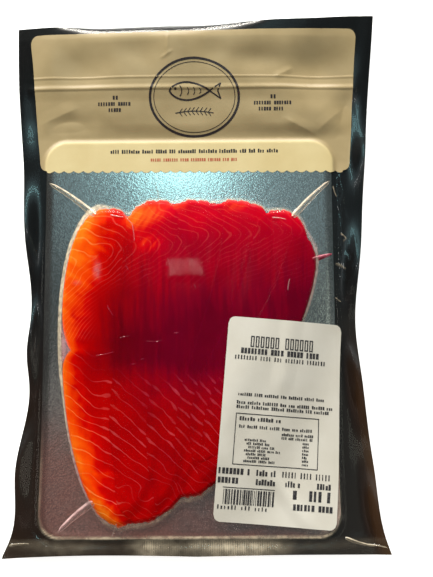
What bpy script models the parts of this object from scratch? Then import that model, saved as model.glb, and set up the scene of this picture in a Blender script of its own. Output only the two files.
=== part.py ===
"""A vacuum pack of sliced gravlax, lying on its back.

Six hand-cut slices lie fanned on a foil-faced board, and a pouch is drawn tight round both. The sealed pouch
and what it holds are one solid: its flat margins, the step of the board, the swell of the slices, the pleats
that the film pulls between them, and the zip across the header. A paper price label is stuck over one corner.

Metres, +Z up. +Y runs from the foot of the pack to its header. The origin is under the middle of the pack.
"""

import math

import bmesh
import bpy
import numpy as np

MM = 0.001

# The pouch: half its length before its ends are cut, the two sides as drawn in by the vacuum, and its ends.
PACK_HALF_LENGTH = 138 * MM
LEFT_SIDE = ((-138, -94.0), (-131, -91.2), (-95, -89.4), (-58, -84.3), (-40, -85.6), (-20, -84.1),
             (20, -88.0), (60, -90.2), (100, -93.0), (138, -94.0))
RIGHT_SIDE = ((-138, 94.0), (-131, 91.6), (-95, 87.4), (-58, 83.4), (-26, 80.8), (20, 85.0),
              (60, 87.8), (100, 90.8), (138, 94.0))
TOP_EDGE = ((-94, 6.6), (-62, 5.6), (-36, 4.7), (-10, 4.2), (12, 4.4), (40, 4.0), (62, 3.2), (82, 1.9),
            (94, 1.5))
FOOT_EDGE_RISE = 1.2 * MM
FOOT_LEFT_LONGER = 1.1 * MM
FILM_PAIR = 0.6 * MM
SEAL_WIDTH = 6.5 * MM

# How the pouch lies: flat under the food, its foot bowed up and its header arched and curled at the edge.
BOW_STARTS = -60 * MM
BOW_REACH = 80 * MM
BOW_HEIGHT = 7 * MM
HEADER_STARTS = 71 * MM
HEADER_REACH = 54 * MM
HEADER_LIFT = 7.0 * MM
HEADER_RIGHT = 1.5 * MM
HEADER_RIGHT_STARTS = 90 * MM
HEADER_RIGHT_REACH = 48 * MM
CURL_LENGTH = 11 * MM
SIDE_WAVE = 1.3 * MM
SIDE_WAVE_LENGTH = 62 * MM
WAVE_CALMED = 0.8

# The board inside, and how far the film takes to come down from its edge.
BOARD_CENTRE = (-3.7 * MM, -30.5 * MM)
BOARD_HALF = (74 * MM, 99.8 * MM)
BOARD_CORNER = 11 * MM
BOARD_THICK = 0.9 * MM
BOARD_SLOPE = 3.2 * MM

# The slices, from the lowest to the topmost: middle of the top end, middle of the foot, half width, and how
# blunt the top is. Then the left edge of each one, as it lies on the slice below.
SLICES = (
    ((-45.7, 34.0), (-36.6, -124.0), 26.3, 2.3),
    ((-18.5, 38.0), (-27.0, -122.5), 26.5, 2.5),
    ((4.0, 37.6), (-22.0, -119.0), 25.0, 3.0),
    ((25.0, 37.2), (-5.0, -110.5), 24.0, 3.0),
    ((46.5, 32.0), (6.0, -103.5), 22.0, 2.4),
    ((55.5, 18.0), (-2.0, -92.5), 18.5, 2.3),
)
SLICE_LEFT = (
    None,
    ((-35, 29), (-37, 10), (-39, -20), (-42, -58), (-43, -75), (-40.5, -95), (-37.5, -122)),
    ((-8, 34), (-11, 10), (-16, -20), (-22, -55), (-24, -68), (-24.5, -85), (-22, -105), (-19, -118)),
    ((15, 34), (12, 10), (3, -25), (-7, -56), (-9.3, -68), (-10.5, -82), (-10, -97), (-8, -110)),
    ((32.5, 30), (27, 10), (15, -25), (1.5, -54), (-2, -66), (-3.5, -80), (-2, -93), (3, -103)),
    ((51, 25), (44, 5), (30, -25), (9.5, -56), (5, -68), (3, -80), (2, -92)),
)

# The swell of the food: the rim's thickness, what each layer adds and how far in, and the step at its edge.
EDGE_THICK = 4.2 * MM
LAYER_THICK = 1.7 * MM
LAYER_SPREAD = 24 * MM
LAYER_ENDS = 5 * MM
STEP_THICK = 0.3 * MM
STEP_SPREAD = 0.9 * MM
NOTCH_FILLS = 0.9 * MM
FOOT_BLUNTNESS = 2.05
RUFFLE = 0.3 * MM
RUFFLE_LENGTH = 9.5 * MM
FILM_OUTSIDE = 2.8 * MM
FILM_INSIDE = 1.5 * MM

# Pleats in the film: where each leaves the food, where it ends, its height there.
PLEATS = (
    ((-52.5, 31.5), (-76.5, 48.5), 2.3),
    ((50.5, 30.0), (69.5, 48.5), 2.3),
    ((-19.0, 37.5), (-21.5, 49.0), 1.0),
    ((59.5, 7.0), (69.5, 10.0), 1.7),
    ((-52.0, -113.5), (-67.0, -126.5), 2.0),
    ((-38.5, -122.5), (-41.5, -129.5), 1.0),
)
PLEAT_HALF_WIDTH = 2.1 * MM

# The zip across the header: a band that rises slowly to its crest and ends in a step, and its upper flange.
ZIP_TOP = 104.0 * MM
ZIP_CREST = 98.0 * MM
ZIP_FOOT = 97.1 * MM
ZIP_FADES = 91.0 * MM
ZIP_HEIGHT = 0.75 * MM
FLANGE_HALF = 0.7 * MM
FLANGE_HEIGHT = 0.3 * MM

# Soft dents and swells in the loose header film: middle, length along X and Y, height.
DENTS = (
    ((-58, 110), (14, 11), -1.8), ((-30, 117), (13, 8), -1.0), ((-12, 122), (9, 9), 0.7),
    ((9, 117), (9, 8), -1.0), ((31, 113), (15, 7), -1.8), ((62, 109), (17, 12), -3.2),
    ((-76, 112), (6, 12), 0.5), ((-66, 80), (15, 5), -0.9), ((80, 86), (8, 10), -1.6),
    ((-40, 84), (10, 7), 0.5), ((30, 84), (13, 7), 0.8), ((62, 85), (14, 9), 1.0),
)

# The paper price label, turned a little on the pack.
LABEL_CENTRE = (42.1 * MM, -74.5 * MM)
LABEL_HALF = (30 * MM, 50 * MM)
LABEL_CORNER = 3.5 * MM
LABEL_TURN = math.radians(-5)
LABEL_THICK = 0.3 * MM
LABEL_GAP = 0.56 * MM
LABEL_BRIDGE = 12 * MM
LABEL_DRAPE = 24 * MM
LABEL_STIFF = 5 * MM
LABEL_PULL = 3.0 * MM
LABEL_RIDGES = (((49.5, -18.0), (41.5, -62.0), 7.0, 0.8), ((35.0, -99.0), (57.0, -128.0), 6.0, 0.7))

GRID_STEP = 1.0 * MM
POUCH_TRIANGLES = 9400
LABEL_STEP = 2.5 * MM
LABEL_TRIANGLES = 1500

POUCH_COLOUR = (0.012, 0.012, 0.013)
LABEL_COLOUR = (0.74, 0.72, 0.64)


def soft_step(value, low, high):
    """0 at low, 1 at high, and a smooth rise between."""
    t = np.clip((value - low) / (high - low), 0, 1)
    return t * t * (3 - 2 * t)


def curve_through(points, at):
    """Reads a smooth curve through (place, value) points in millimetres, at places in metres."""
    places, values = np.array(points, float).T * MM
    slopes = np.gradient(values, places)
    i = np.clip(np.searchsorted(places, at) - 1, 0, len(places) - 2)
    gap = places[i + 1] - places[i]
    t = np.clip((at - places[i]) / gap, 0, 1)
    rise = t * t * (3 - 2 * t)
    leaving = (t**3 - 2 * t**2 + t) * gap * slopes[i]
    arriving = (t**3 - t**2) * gap * slopes[i + 1]
    return values[i] * (1 - rise) + values[i + 1] * rise + leaving + arriving


def drawn_in(across, along):
    """The place on the pack of a point of the flat pouch, both given from -1 to 1."""
    y = along * PACK_HALF_LENGTH
    y = y - soft_step(along, 0.8, 1.0) * curve_through(TOP_EDGE, across * 94 * MM)
    y = y + np.clip(-along, 0, 1) ** 6 * FOOT_EDGE_RISE * np.sin(np.clip(across + 1, 0, 1) * math.pi)
    y = y - soft_step(-along, 0.85, 1.0) * FOOT_LEFT_LONGER * (1 - soft_step(across, -0.5, 0.6))
    left = curve_through(LEFT_SIDE, y)
    right = curve_through(RIGHT_SIDE, y)
    return left + (right - left) * (across + 1) / 2, y


def edge_distance(x, y):
    """How far a point is from the nearer side of the pouch, positive inside."""
    return np.minimum(x - curve_through(LEFT_SIDE, y), curve_through(RIGHT_SIDE, y) - x)


def board_distance(x, y):
    """Distance outside the board's rounded outline, negative on the board."""
    from_side = np.abs(x - BOARD_CENTRE[0]) - (BOARD_HALF[0] - BOARD_CORNER)
    from_end = np.abs(y - BOARD_CENTRE[1]) - (BOARD_HALF[1] - BOARD_CORNER)
    outside = np.hypot(np.maximum(from_side, 0), np.maximum(from_end, 0))
    return outside + np.minimum(np.maximum(from_side, from_end), 0) - BOARD_CORNER


def slice_axes(number):
    """One slice's middle, lean from +Y, half length, half width and how blunt its top is."""
    (top_x, top_y), (foot_x, foot_y), half_width, bluntness = SLICES[number]
    lean = math.atan2(top_x - foot_x, top_y - foot_y)
    half_length = math.hypot(top_x - foot_x, top_y - foot_y) / 2 * MM
    return (top_x + foot_x) / 2 * MM, (top_y + foot_y) / 2 * MM, lean, half_length, half_width * MM, bluntness


def slice_edge(x, y, number):
    """Distance outside one slice's blunt, ruffled outline, negative on it, and the place across it."""
    mid_x, mid_y, lean, half_length, half_width, bluntness = slice_axes(number)
    across = (x - mid_x) * math.cos(lean) - (y - mid_y) * math.sin(lean)
    along = (x - mid_x) * math.sin(lean) + (y - mid_y) * math.cos(lean)
    p = np.where(along > 0, bluntness, FOOT_BLUNTNESS)
    u = np.abs(across / half_width) + 1e-9
    v = np.abs(along / half_length) + 1e-9
    reach = (u**p + v**p) ** (1 / p)
    slope = reach ** (1 - p) * np.hypot(u ** (p - 1) / half_width, v ** (p - 1) / half_length)
    distance = (reach - 1) / np.maximum(slope, 0.6 / half_width)
    turn = (across * 1.2 + along * 0.5) * 2 * math.pi / RUFFLE_LENGTH + 1.7 * number
    wave = 0.6 * np.sin(turn) + 0.4 * np.sin(2.3 * turn + along / RUFFLE_LENGTH)
    return distance + RUFFLE * wave * soft_step(v, 0.6, 1.0), across / half_width


def left_of_slice(number, along):
    """Where a slice's left edge lies across it, at places along it."""
    mid_x, mid_y, lean, half_length, half_width, bluntness = slice_axes(number)
    if SLICE_LEFT[number] is None:
        return np.full_like(along, -2 * half_width)
    x, y = np.array(SLICE_LEFT[number][::-1], float).T - np.array([[mid_x], [mid_y]]) / MM
    across = x * math.cos(lean) - y * math.sin(lean)
    return curve_through(list(zip(x * math.sin(lean) + y * math.cos(lean), across)), along)


def from_slice_left(x, y, number):
    """How far a point is inside the left edge of a slice, negative to the left of it."""
    mid_x, mid_y, lean, half_length, half_width, bluntness = slice_axes(number)
    across = (x - mid_x) * math.cos(lean) - (y - mid_y) * math.sin(lean)
    along = (x - mid_x) * math.sin(lean) + (y - mid_y) * math.cos(lean)
    return across - np.maximum(left_of_slice(number, np.clip(along, -half_length, half_length)), -half_width)


def food_distance(x, y):
    """Distance outside the slices' common outline, with the notches between them part filled."""
    near = sum(np.exp(-slice_edge(x, y, number)[0] / NOTCH_FILLS) for number in range(len(SLICES)))
    return -NOTCH_FILLS * np.log(np.maximum(near, 1e-30))


def food_height(x, y, outside):
    """Height of the stacked slices under a cover that takes this length to come down past their outline."""
    height = EDGE_THICK * (1 - soft_step(food_distance(x, y), -FILM_INSIDE, outside))
    for number in range(len(SLICES)):
        distance, across = slice_edge(x, y, number)
        from_left = from_slice_left(x, y, number)
        to_right = LAYER_SPREAD / SLICES[number][2] / MM
        layer = LAYER_THICK * soft_step(from_left, 0, LAYER_SPREAD) * (1 - soft_step(across, 1 - to_right, 1))
        height += layer * (1 - soft_step(distance, -LAYER_ENDS, 0))
        shingle = STEP_THICK * soft_step(from_left, -STEP_SPREAD, STEP_SPREAD)
        shingle *= 1 - soft_step(from_left, 4 * MM, 22 * MM)
        height += shingle * (1 - soft_step(distance, -STEP_SPREAD, STEP_SPREAD))
    return height


def pleat_height(x, y):
    """Height of the pleats that the film pulls from the food towards the board's corners."""
    height = np.zeros_like(x)
    for start, end, rise in PLEATS:
        run = (np.array(end) - np.array(start)) * MM
        length = np.hypot(*run)
        along = ((x - start[0] * MM) * run[0] + (y - start[1] * MM) * run[1]) / length**2
        across = np.abs((x - start[0] * MM) * run[1] - (y - start[1] * MM) * run[0]) / length
        width = PLEAT_HALF_WIDTH * (1 - 0.4 * np.clip(along, 0, 1))
        fade = soft_step(along, -0.3, 0.0) * (1 - np.clip(along, 0, 1) ** 1.5)
        height = np.maximum(height, rise * MM * fade * (1 - soft_step(across, 0, width)))
    return height


def zip_height(x, y):
    """Height of the zip's track and flange, flattened where the side seals cross them."""
    rising = np.clip((ZIP_TOP - y) / (ZIP_TOP - ZIP_CREST), 0, 1)
    rising = 0.3 * rising + 0.7 * soft_step(rising, 0.55, 1)
    falling = 0.5 * soft_step(y, ZIP_FOOT, ZIP_CREST) + 0.5 * soft_step(y, ZIP_FADES, ZIP_CREST)
    track = ZIP_HEIGHT * rising * falling
    flange = FLANGE_HEIGHT * (1 - soft_step(np.abs(y - ZIP_TOP), 0, FLANGE_HALF))
    return (track + flange) * (0.25 + 0.75 * soft_step(edge_distance(x, y), SEAL_WIDTH - 2 * MM, SEAL_WIDTH))


def dent_height(x, y):
    """Soft swells and dents of the loose film in the header, none on the board."""
    height = np.zeros_like(x)
    for (mid_x, mid_y), (size_x, size_y), rise in DENTS:
        apart = ((x - mid_x * MM) / (size_x * MM)) ** 2 + ((y - mid_y * MM) / (size_y * MM)) ** 2
        height += rise * MM * np.exp(-apart)
    inside = soft_step(edge_distance(x, y), 2 * MM, 12 * MM)
    return height * inside * soft_step(board_distance(x, y), 1 * MM, 8 * MM)


def back_height(x, y):
    """Height of the pouch's back above the surface it lies on: 0 under the food, lifted at the ends."""
    bow = BOW_HEIGHT * (np.clip(BOW_STARTS - y, 0, None) / BOW_REACH) ** 2
    middle = np.cos(np.clip(x / (94 * MM), -1, 1) * math.pi / 2) ** 0.7
    rise = np.clip((y - HEADER_STARTS) / HEADER_REACH, 0, 1)
    arch = HEADER_LIFT * (0.7 * rise + 0.3 * soft_step(rise, 0, 1)) * (0.35 + 0.65 * middle)
    higher = np.clip((y - HEADER_RIGHT_STARTS) / HEADER_RIGHT_REACH, 0, 1) ** 1.2
    arch = arch + HEADER_RIGHT * higher * soft_step(x, 5 * MM, 60 * MM)
    top_edge = PACK_HALF_LENGTH - curve_through(TOP_EDGE, x)
    curl = np.clip((top_edge - y) / CURL_LENGTH, 0, 1)
    curled = np.sqrt(np.clip(1 - (1 - curl) ** 2, 0, 1))
    left_of_middle = soft_step(x, -80 * MM, -45 * MM) * (1 - soft_step(x, -10 * MM, 45 * MM))
    arch = arch * (1 - left_of_middle * (1 - curled))
    near_side = 1 - soft_step(edge_distance(x, y), 0, 9 * MM)
    off_board = soft_step(board_distance(x, y), 0, 6 * MM)
    wave = SIDE_WAVE * (1 + np.sin(y * 2 * math.pi / SIDE_WAVE_LENGTH + np.sign(x) * 1.1)) * near_side * off_board
    wave = wave * (1 - WAVE_CALMED * soft_step(y, 60 * MM, 85 * MM))
    return np.maximum(bow + arch + wave + dent_height(x, y), 0)


def front_height(x, y):
    """Height of the pouch's front: its back, and everything that the film covers."""
    board = BOARD_THICK * (1 - soft_step(board_distance(x, y), -0.4 * MM, BOARD_SLOPE))
    food = food_height(x, y, FILM_OUTSIDE)
    inside = board + np.maximum(food, pleat_height(x, y)) + zip_height(x, y)
    return back_height(x, y) + FILM_PAIR + inside


def label_height(x, y):
    """Height of the label's underside: stiff paper, which bridges the film's steps with wide slopes."""
    board = BOARD_THICK * (1 - soft_step(board_distance(x, y), -0.4 * MM, LABEL_BRIDGE))
    around = ((0, 0), (LABEL_STIFF, 0), (-LABEL_STIFF, 0), (0, LABEL_STIFF), (0, -LABEL_STIFF))
    food = sum(food_height(x + right, y + up, LABEL_DRAPE) for right, up in around) / len(around)
    ridge = np.zeros_like(x)
    for start, end, half_width, rise in LABEL_RIDGES:
        run = (np.array(end) - np.array(start)) * MM
        length = np.hypot(*run)
        along = ((x - start[0] * MM) * run[0] + (y - start[1] * MM) * run[1]) / length**2
        across = np.abs((x - start[0] * MM) * run[1] - (y - start[1] * MM) * run[0]) / length
        ends = soft_step(along, -0.15, 0.2) * (1 - soft_step(along, 0.75, 1.1))
        ridge += rise * MM * ends * (1 - soft_step(across, 0, half_width * MM))
    return back_height(x, y) + FILM_PAIR + board + food + ridge + LABEL_GAP


def material(name, colour, roughness):
    """A plain finish for one piece."""
    made = bpy.data.materials.new(name)
    made.use_nodes = True
    shader = made.node_tree.nodes["Principled BSDF"]
    shader.inputs["Base Color"].default_value = (*colour, 1)
    shader.inputs["Roughness"].default_value = roughness
    shader.inputs["Metallic"].default_value = 0
    made.diffuse_color = (*colour, 1)
    return made


def closed_sheet(name, columns, rows, collection):
    """A thin closed slab from -1 to 1 in X and Y, its front at Z 1 and its back at Z 0, as a dense grid."""
    mesh = bpy.data.meshes.new(name)
    grid = bmesh.new()
    bmesh.ops.create_grid(grid, x_segments=columns, y_segments=rows, size=1)
    bmesh.ops.translate(grid, verts=grid.verts, vec=(0, 0, 1))
    grid.to_mesh(mesh)
    grid.free()
    sheet = bpy.data.objects.new(name, mesh)
    collection.objects.link(sheet)
    wall = sheet.modifiers.new("wall", "SOLIDIFY")
    wall.thickness = 1
    wall.offset = -1
    graph = bpy.context.evaluated_depsgraph_get()
    solid = bpy.data.meshes.new_from_object(sheet.evaluated_get(graph))
    sheet.modifiers.remove(wall)
    sheet.data = solid
    bpy.data.meshes.remove(mesh)
    solid.name = name
    return sheet


def shape(sheet, place):
    """Moves a closed sheet's points: place takes (across, along, front) and returns x, y, z."""
    count = len(sheet.data.vertices)
    flat = np.empty(count * 3)
    sheet.data.vertices.foreach_get("co", flat)
    across, along, level = flat.reshape(count, 3).T
    moved = np.stack(place(across, along, level > 0.5), axis=1)
    sheet.data.vertices.foreach_set("co", moved.ravel())
    sheet.data.update()


def thin_out(sheet, triangles):
    """Keeps about this many triangles, most where the relief is."""
    sheet.data.calc_loop_triangles()
    fewer = sheet.modifiers.new("fewer faces", "DECIMATE")
    fewer.ratio = triangles / len(sheet.data.loop_triangles)
    fewer.use_collapse_triangulate = True


def pouch_place(across, along, front):
    """A point of the pouch from its place on the flat sheet."""
    x, y = drawn_in(across, along)
    return x, y, np.where(front, front_height(x, y), back_height(x, y))


def label_place(across, along, front):
    """A point of the label: round corners, its top right drawn in, then turned and laid over the film."""
    flat_x = across * LABEL_HALF[0]
    into_corner = np.clip((np.abs(flat_x) - LABEL_HALF[0] + LABEL_CORNER) / LABEL_CORNER, 0, 1)
    shorter = LABEL_CORNER * (1 - np.sqrt(1 - into_corner**2))
    flat_y = along * (LABEL_HALF[1] - shorter)
    flat_x = flat_x - LABEL_PULL * ((across + 1) / 2) ** 1.5 * soft_step(flat_y, -35 * MM, 50 * MM)
    x = LABEL_CENTRE[0] + flat_x * math.cos(LABEL_TURN) - flat_y * math.sin(LABEL_TURN)
    y = LABEL_CENTRE[1] + flat_x * math.sin(LABEL_TURN) + flat_y * math.cos(LABEL_TURN)
    return x, y, label_height(x, y) + np.where(front, LABEL_THICK, 0)


def build_pouch(collection):
    """The sealed pouch with the board and the slices in it, as one solid."""
    columns = round(188 * MM / GRID_STEP)
    rows = round(2 * PACK_HALF_LENGTH / GRID_STEP)
    pouch = closed_sheet("vacuum_pouch", columns, rows, collection)
    shape(pouch, pouch_place)
    thin_out(pouch, POUCH_TRIANGLES)
    pouch.data.materials.append(material("black_film", POUCH_COLOUR, 0.25))


def build_label(collection):
    """The paper price label, draped over the food's edge and the board's side."""
    columns = round(2 * LABEL_HALF[0] / LABEL_STEP)
    rows = round(2 * LABEL_HALF[1] / LABEL_STEP)
    label = closed_sheet("price_label", columns, rows, collection)
    shape(label, label_place)
    thin_out(label, LABEL_TRIANGLES)
    label.data.materials.append(material("label_paper", LABEL_COLOUR, 0.55))


def main():
    for old in list(bpy.data.objects):
        bpy.data.objects.remove(old)
    collection = bpy.data.collections.new("gravlax_pack")
    bpy.context.scene.collection.children.link(collection)
    build_pouch(collection)
    build_label(collection)


main()
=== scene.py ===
"""Looks of a vacuum pack of sliced gravlax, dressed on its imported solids.

The sealed pouch becomes what it is made of: a black back film, a foil-faced board, six hand-cut slices of
cured salmon and a clear front film drawn tight over them, with a sand-coloured print on the header. The
price label becomes printed thermal paper. +Z is up and +Y runs from the foot of the pack to its header.
Shapes are worked out in millimetres, and materials, lights and the camera in metres.
"""

import math

import bpy
import numpy as np
from mathutils import Euler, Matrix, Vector

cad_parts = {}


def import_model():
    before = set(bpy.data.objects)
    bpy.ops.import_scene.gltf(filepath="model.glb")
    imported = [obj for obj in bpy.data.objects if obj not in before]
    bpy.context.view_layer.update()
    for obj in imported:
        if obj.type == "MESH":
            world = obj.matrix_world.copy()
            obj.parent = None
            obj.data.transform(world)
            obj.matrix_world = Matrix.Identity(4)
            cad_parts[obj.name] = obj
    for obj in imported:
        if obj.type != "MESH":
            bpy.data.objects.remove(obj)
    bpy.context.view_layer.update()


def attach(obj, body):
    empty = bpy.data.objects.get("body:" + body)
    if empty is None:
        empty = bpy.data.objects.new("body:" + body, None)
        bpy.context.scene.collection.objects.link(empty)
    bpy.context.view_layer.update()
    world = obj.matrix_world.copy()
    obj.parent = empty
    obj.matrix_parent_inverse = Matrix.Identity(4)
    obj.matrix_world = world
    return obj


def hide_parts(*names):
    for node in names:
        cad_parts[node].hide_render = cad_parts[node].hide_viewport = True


MM = 0.001

# Random numbers that each kind of unevenness is drawn from, along X and along Y.
LATTICE = 64

# The pouch's outline, how it lies and what it covers, as its solid has them.
PACK_HALF_LENGTH = 138
PACK_HALF_WIDTH = 94
LEFT_SIDE = ((-138, -94.0), (-131, -91.2), (-95, -89.4), (-58, -84.3), (-40, -85.6), (-20, -84.1),
             (20, -88.0), (60, -90.2), (100, -93.0), (138, -94.0))
RIGHT_SIDE = ((-138, 94.0), (-131, 91.6), (-95, 87.4), (-58, 83.4), (-26, 80.8), (20, 85.0),
              (60, 87.8), (100, 90.8), (138, 94.0))
TOP_EDGE = ((-94, 6.6), (-62, 5.6), (-36, 4.7), (-10, 4.2), (12, 4.4), (40, 4.0), (62, 3.2), (82, 1.9),
            (94, 1.5))
FOOT_EDGE_RISE = 1.2
FOOT_LEFT_LONGER = 1.1
SEAL_WIDTH = 6.5
FOOT_SEAL = (-131, -129.5)
BOW_STARTS = -60
BOW_REACH = 80
BOW_HEIGHT = 7
HEADER_STARTS = 71
HEADER_REACH = 54
HEADER_LIFT = 7.0
HEADER_RIGHT = 1.5
HEADER_RIGHT_STARTS = 90
HEADER_RIGHT_REACH = 48
CURL_LENGTH = 11
SIDE_WAVE = 1.3
SIDE_WAVE_LENGTH = 62
WAVE_CALMED = 0.8
BOARD_CENTRE = (-3.7, -30.5)
BOARD_HALF = (74, 99.8)
BOARD_CORNER = 11
BOARD_SLOPE = 3.2
BOARD_EDGE_ROUND = 0.4
BOARD_RIM_PRESSED = 0.4
BOARD_RIM_WIDTH = 2.2
SLICES = (
    ((-45.7, 34.0), (-36.6, -124.0), 26.3, 2.3),
    ((-18.5, 38.0), (-27.0, -122.5), 26.5, 2.5),
    ((4.0, 37.6), (-22.0, -119.0), 25.0, 3.0),
    ((25.0, 37.2), (-5.0, -110.5), 24.0, 3.0),
    ((46.5, 32.0), (6.0, -103.5), 22.0, 2.4),
    ((55.5, 18.0), (-2.0, -92.5), 18.5, 2.3),
)
SLICE_LEFT = (
    None,
    ((-35, 29), (-37, 10), (-39, -20), (-42, -58), (-43, -75), (-40.5, -95), (-37.5, -122)),
    ((-8, 34), (-11, 10), (-16, -20), (-22, -55), (-24, -68), (-24.5, -85), (-22, -105), (-19, -118)),
    ((15, 34), (12, 10), (3, -25), (-7, -56), (-9.3, -68), (-10.5, -82), (-10, -97), (-8, -110)),
    ((32.5, 30), (27, 10), (15, -25), (1.5, -54), (-2, -66), (-3.5, -80), (-2, -93), (3, -103)),
    ((51, 25), (44, 5), (30, -25), (9.5, -56), (5, -68), (3, -80), (2, -92)),
)
EDGE_THICK = 4.2
LAYER_THICK = 1.7
LAYER_SPREAD = 24
LAYER_ENDS = 5
STEP_THICK = 0.14
STEP_SPREAD = 0.7
NOTCH_FILLS = 0.9
FOOT_BLUNTNESS = 2.05
RUFFLE = 0.8
RUFFLE_BRIDGED = 0.15
RUFFLE_LENGTH = 9.5
FILM_OUTSIDE = 2.8
FILM_INSIDE = 1.5
PLEATS = (
    ((-52.5, 31.5), (-76.5, 48.5), 2.6),
    ((50.5, 30.0), (69.5, 48.5), 2.6),
    ((-19.0, 37.5), (-21.5, 49.0), 1.0),
    ((59.5, 7.0), (69.5, 10.0), 1.7),
    ((-52.0, -113.5), (-67.0, -126.5), 2.0),
    ((-38.5, -122.5), (-41.5, -129.5), 1.0),
)
PLEAT_HALF_WIDTH = 2.3
PLEAT_SPREAD = 0.3

# The pleat that holds brine.
BRINE_PLEAT = 3

# Folds of clear film: where each starts and ends, how wide and high it stands, and how milky and pink it is;
# the milkiness is in part whitened film and in part painted highlights and glints.
FOLDS = (
    ((-51.5, 30.2), (-76.5, 48.5), 2.0, 1.5, 1.0, 0.0),
    ((49.5, 28.6), (69.5, 48.5), 2.0, 1.5, 0.95, 0.1),
    ((-19.0, 38.5), (-21.5, 49.0), 0.5, 0.5, 0.3, 0.0),
    ((59.0, 6.8), (69.5, 10.0), 0.7, 1.0, 0.6, 0.8),
    ((-50.0, -112.5), (-67.5, -127.0), 2.3, 1.2, 0.75, 0.5),
    ((-91.0, -133.2), (-81.0, -132.2), 0.7, 0.3, 0.5, 0.0),
    ((72.0, -130.2), (86.0, -134.0), 0.9, 0.5, 0.8, 0.0),
    ((82.0, -133.2), (92.0, -134.6), 0.6, 0.4, 0.7, 0.0),
    ((71.0, 45.5), (72.8, 40.0), 0.5, 0.3, 0.5, 0.0),
    ((74.5, 20.5), (77.2, 18.2), 0.55, 0.3, 0.5, 0.0),
    ((77.2, 18.2), (75.6, 16.4), 0.35, 0.3, 0.4, 0.0),
    ((71.4, 5.0), (76.6, 2.0), 0.8, 0.3, 0.3, 0.0),
    ((70.8, -12.5), (73.6, -14.6), 0.5, 0.3, 0.5, 0.0),
    ((-38.5, -122.5), (-41.5, -129.5), 0.6, 0.6, 0.4, 0.3),
    ((-43.5, 30.2), (-36.5, 29.0), 0.55, 0.45, 0.7, 0.4),
    ((39.0, 28.2), (46.0, 27.2), 0.6, 0.45, 0.7, 0.5),
    ((-49.9, -41.3), (-40.7, -39.5), 0.3, 0.12, 0.35, 1.0),
    ((-38.1, -32.9), (-32.8, -31.6), 0.25, 0.1, 0.22, 1.0),
    ((-24.9, -34.5), (-16.3, -34.1), 0.22, 0.1, 0.22, 1.0),
    ((-11.0, -30.5), (-8.4, -30.2), 0.35, 0.12, 0.4, 1.0),
    ((-32.1, -45.8), (-30.1, -45.6), 0.3, 0.1, 0.3, 1.0),
    ((-27.5, -43.5), (-26.0, -43.1), 0.3, 0.1, 0.3, 1.0),
    ((-44.5, -16.2), (-41.5, -21.5), 0.3, 0.12, 0.35, 1.0),
    ((-0.9, -6.2), (-0.1, -7.7), 0.4, 0.12, 0.4, 0.9),
    ((47.2, -3.5), (46.2, -9.4), 0.35, 0.2, 0.7, 0.65),
    ((-35.2, 3.6), (-34.0, 1.4), 0.35, 0.12, 0.3, 1.0),
    ((-37.0, 31.0), (-32.4, 25.5), 0.4, 0.15, 0.45, 0.6),
    ((-32.6, 26.0), (-31.2, 16.0), 0.4, 0.15, 0.4, 0.7),
)

# Patches of flesh with less stain: their middles and sizes, and how much paler they are.
PALE_PATCHES = (
    ((-30, 28), (5, 5), 0.26), ((-23, 30), (8, 5), 0.24), ((-25, 15), (7, 5), 0.24),
    ((-10, 35), (5, 2), 0.12), ((20.5, 34.5), (5, 3), 0.16), ((-45, -117), (7, 6), 0.2),
    ((-57, 24), (5, 8), 0.08),
)

# Where the first slice's flesh is drawn in from the film that bridges it, how far, and over what lengths.
PINCH_Y = -38.7
PINCH_DEPTH = 4.8
PINCH_ABOVE = 8.0
PINCH_BELOW = 4.0

# A patch of film drawn flat over the food, which mirrors a window, and two hazy ones beside the left edge.
TAUT_MIDDLE = (-5.6, 3.0)
TAUT_HALF = (10.0, 5.2)
TAUT_EDGE = 2.5
TAUT_LIES = 0.2
TAUT_SHINES = (8.4, 4.6)
HAZE = (((-49.8, 1.5), (1.9, 4.6), 0.26), ((-60.0, -4.5), (2.0, 1.2), 0.18))

# The milky rim: the middle of the food, between what distances from it its outline is searched for and in
# how many steps, and how far inside and outside the outline the rim reaches.
RIM_MIDDLE = (-6, -43)
RIM_SEARCH = (10, 110)
RIM_HALVINGS = 22
RIM_REACH = (-1.4, 3.0)

# Left side of the fanned slices as (Y, X), how wide the orange is along it, the Y of the darkest band, and
# the line at which the fat turns, as X and Y.
FOOD_LEFT = ((-124, -38.0), (-116, -49.0), (-103, -56.3), (-85, -62.3), (-66, -65.8), (-57, -66.5),
             (-27, -67.3), (-8, -67.4), (5, -66.2), (15, -63.0), (26, -58.0), (36, -49.0))
ORANGE_WIDE = ((-124, 8.0), (-115, 9.5), (-98, 13.0), (-80, 11.5), (-60, 8.5), (-45, 5.5), (-34, 5.5),
               (-14, 9.5), (-5, 13.0), (4, 15.0), (12, 16.5), (22, 13.0), (36, 8.0))
DARK_BAND_Y = -32
FAT_AXIS = ((-66, -43, -12, 5, 25, 60), (3, 11, 15, 18, 20, 21))

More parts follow.
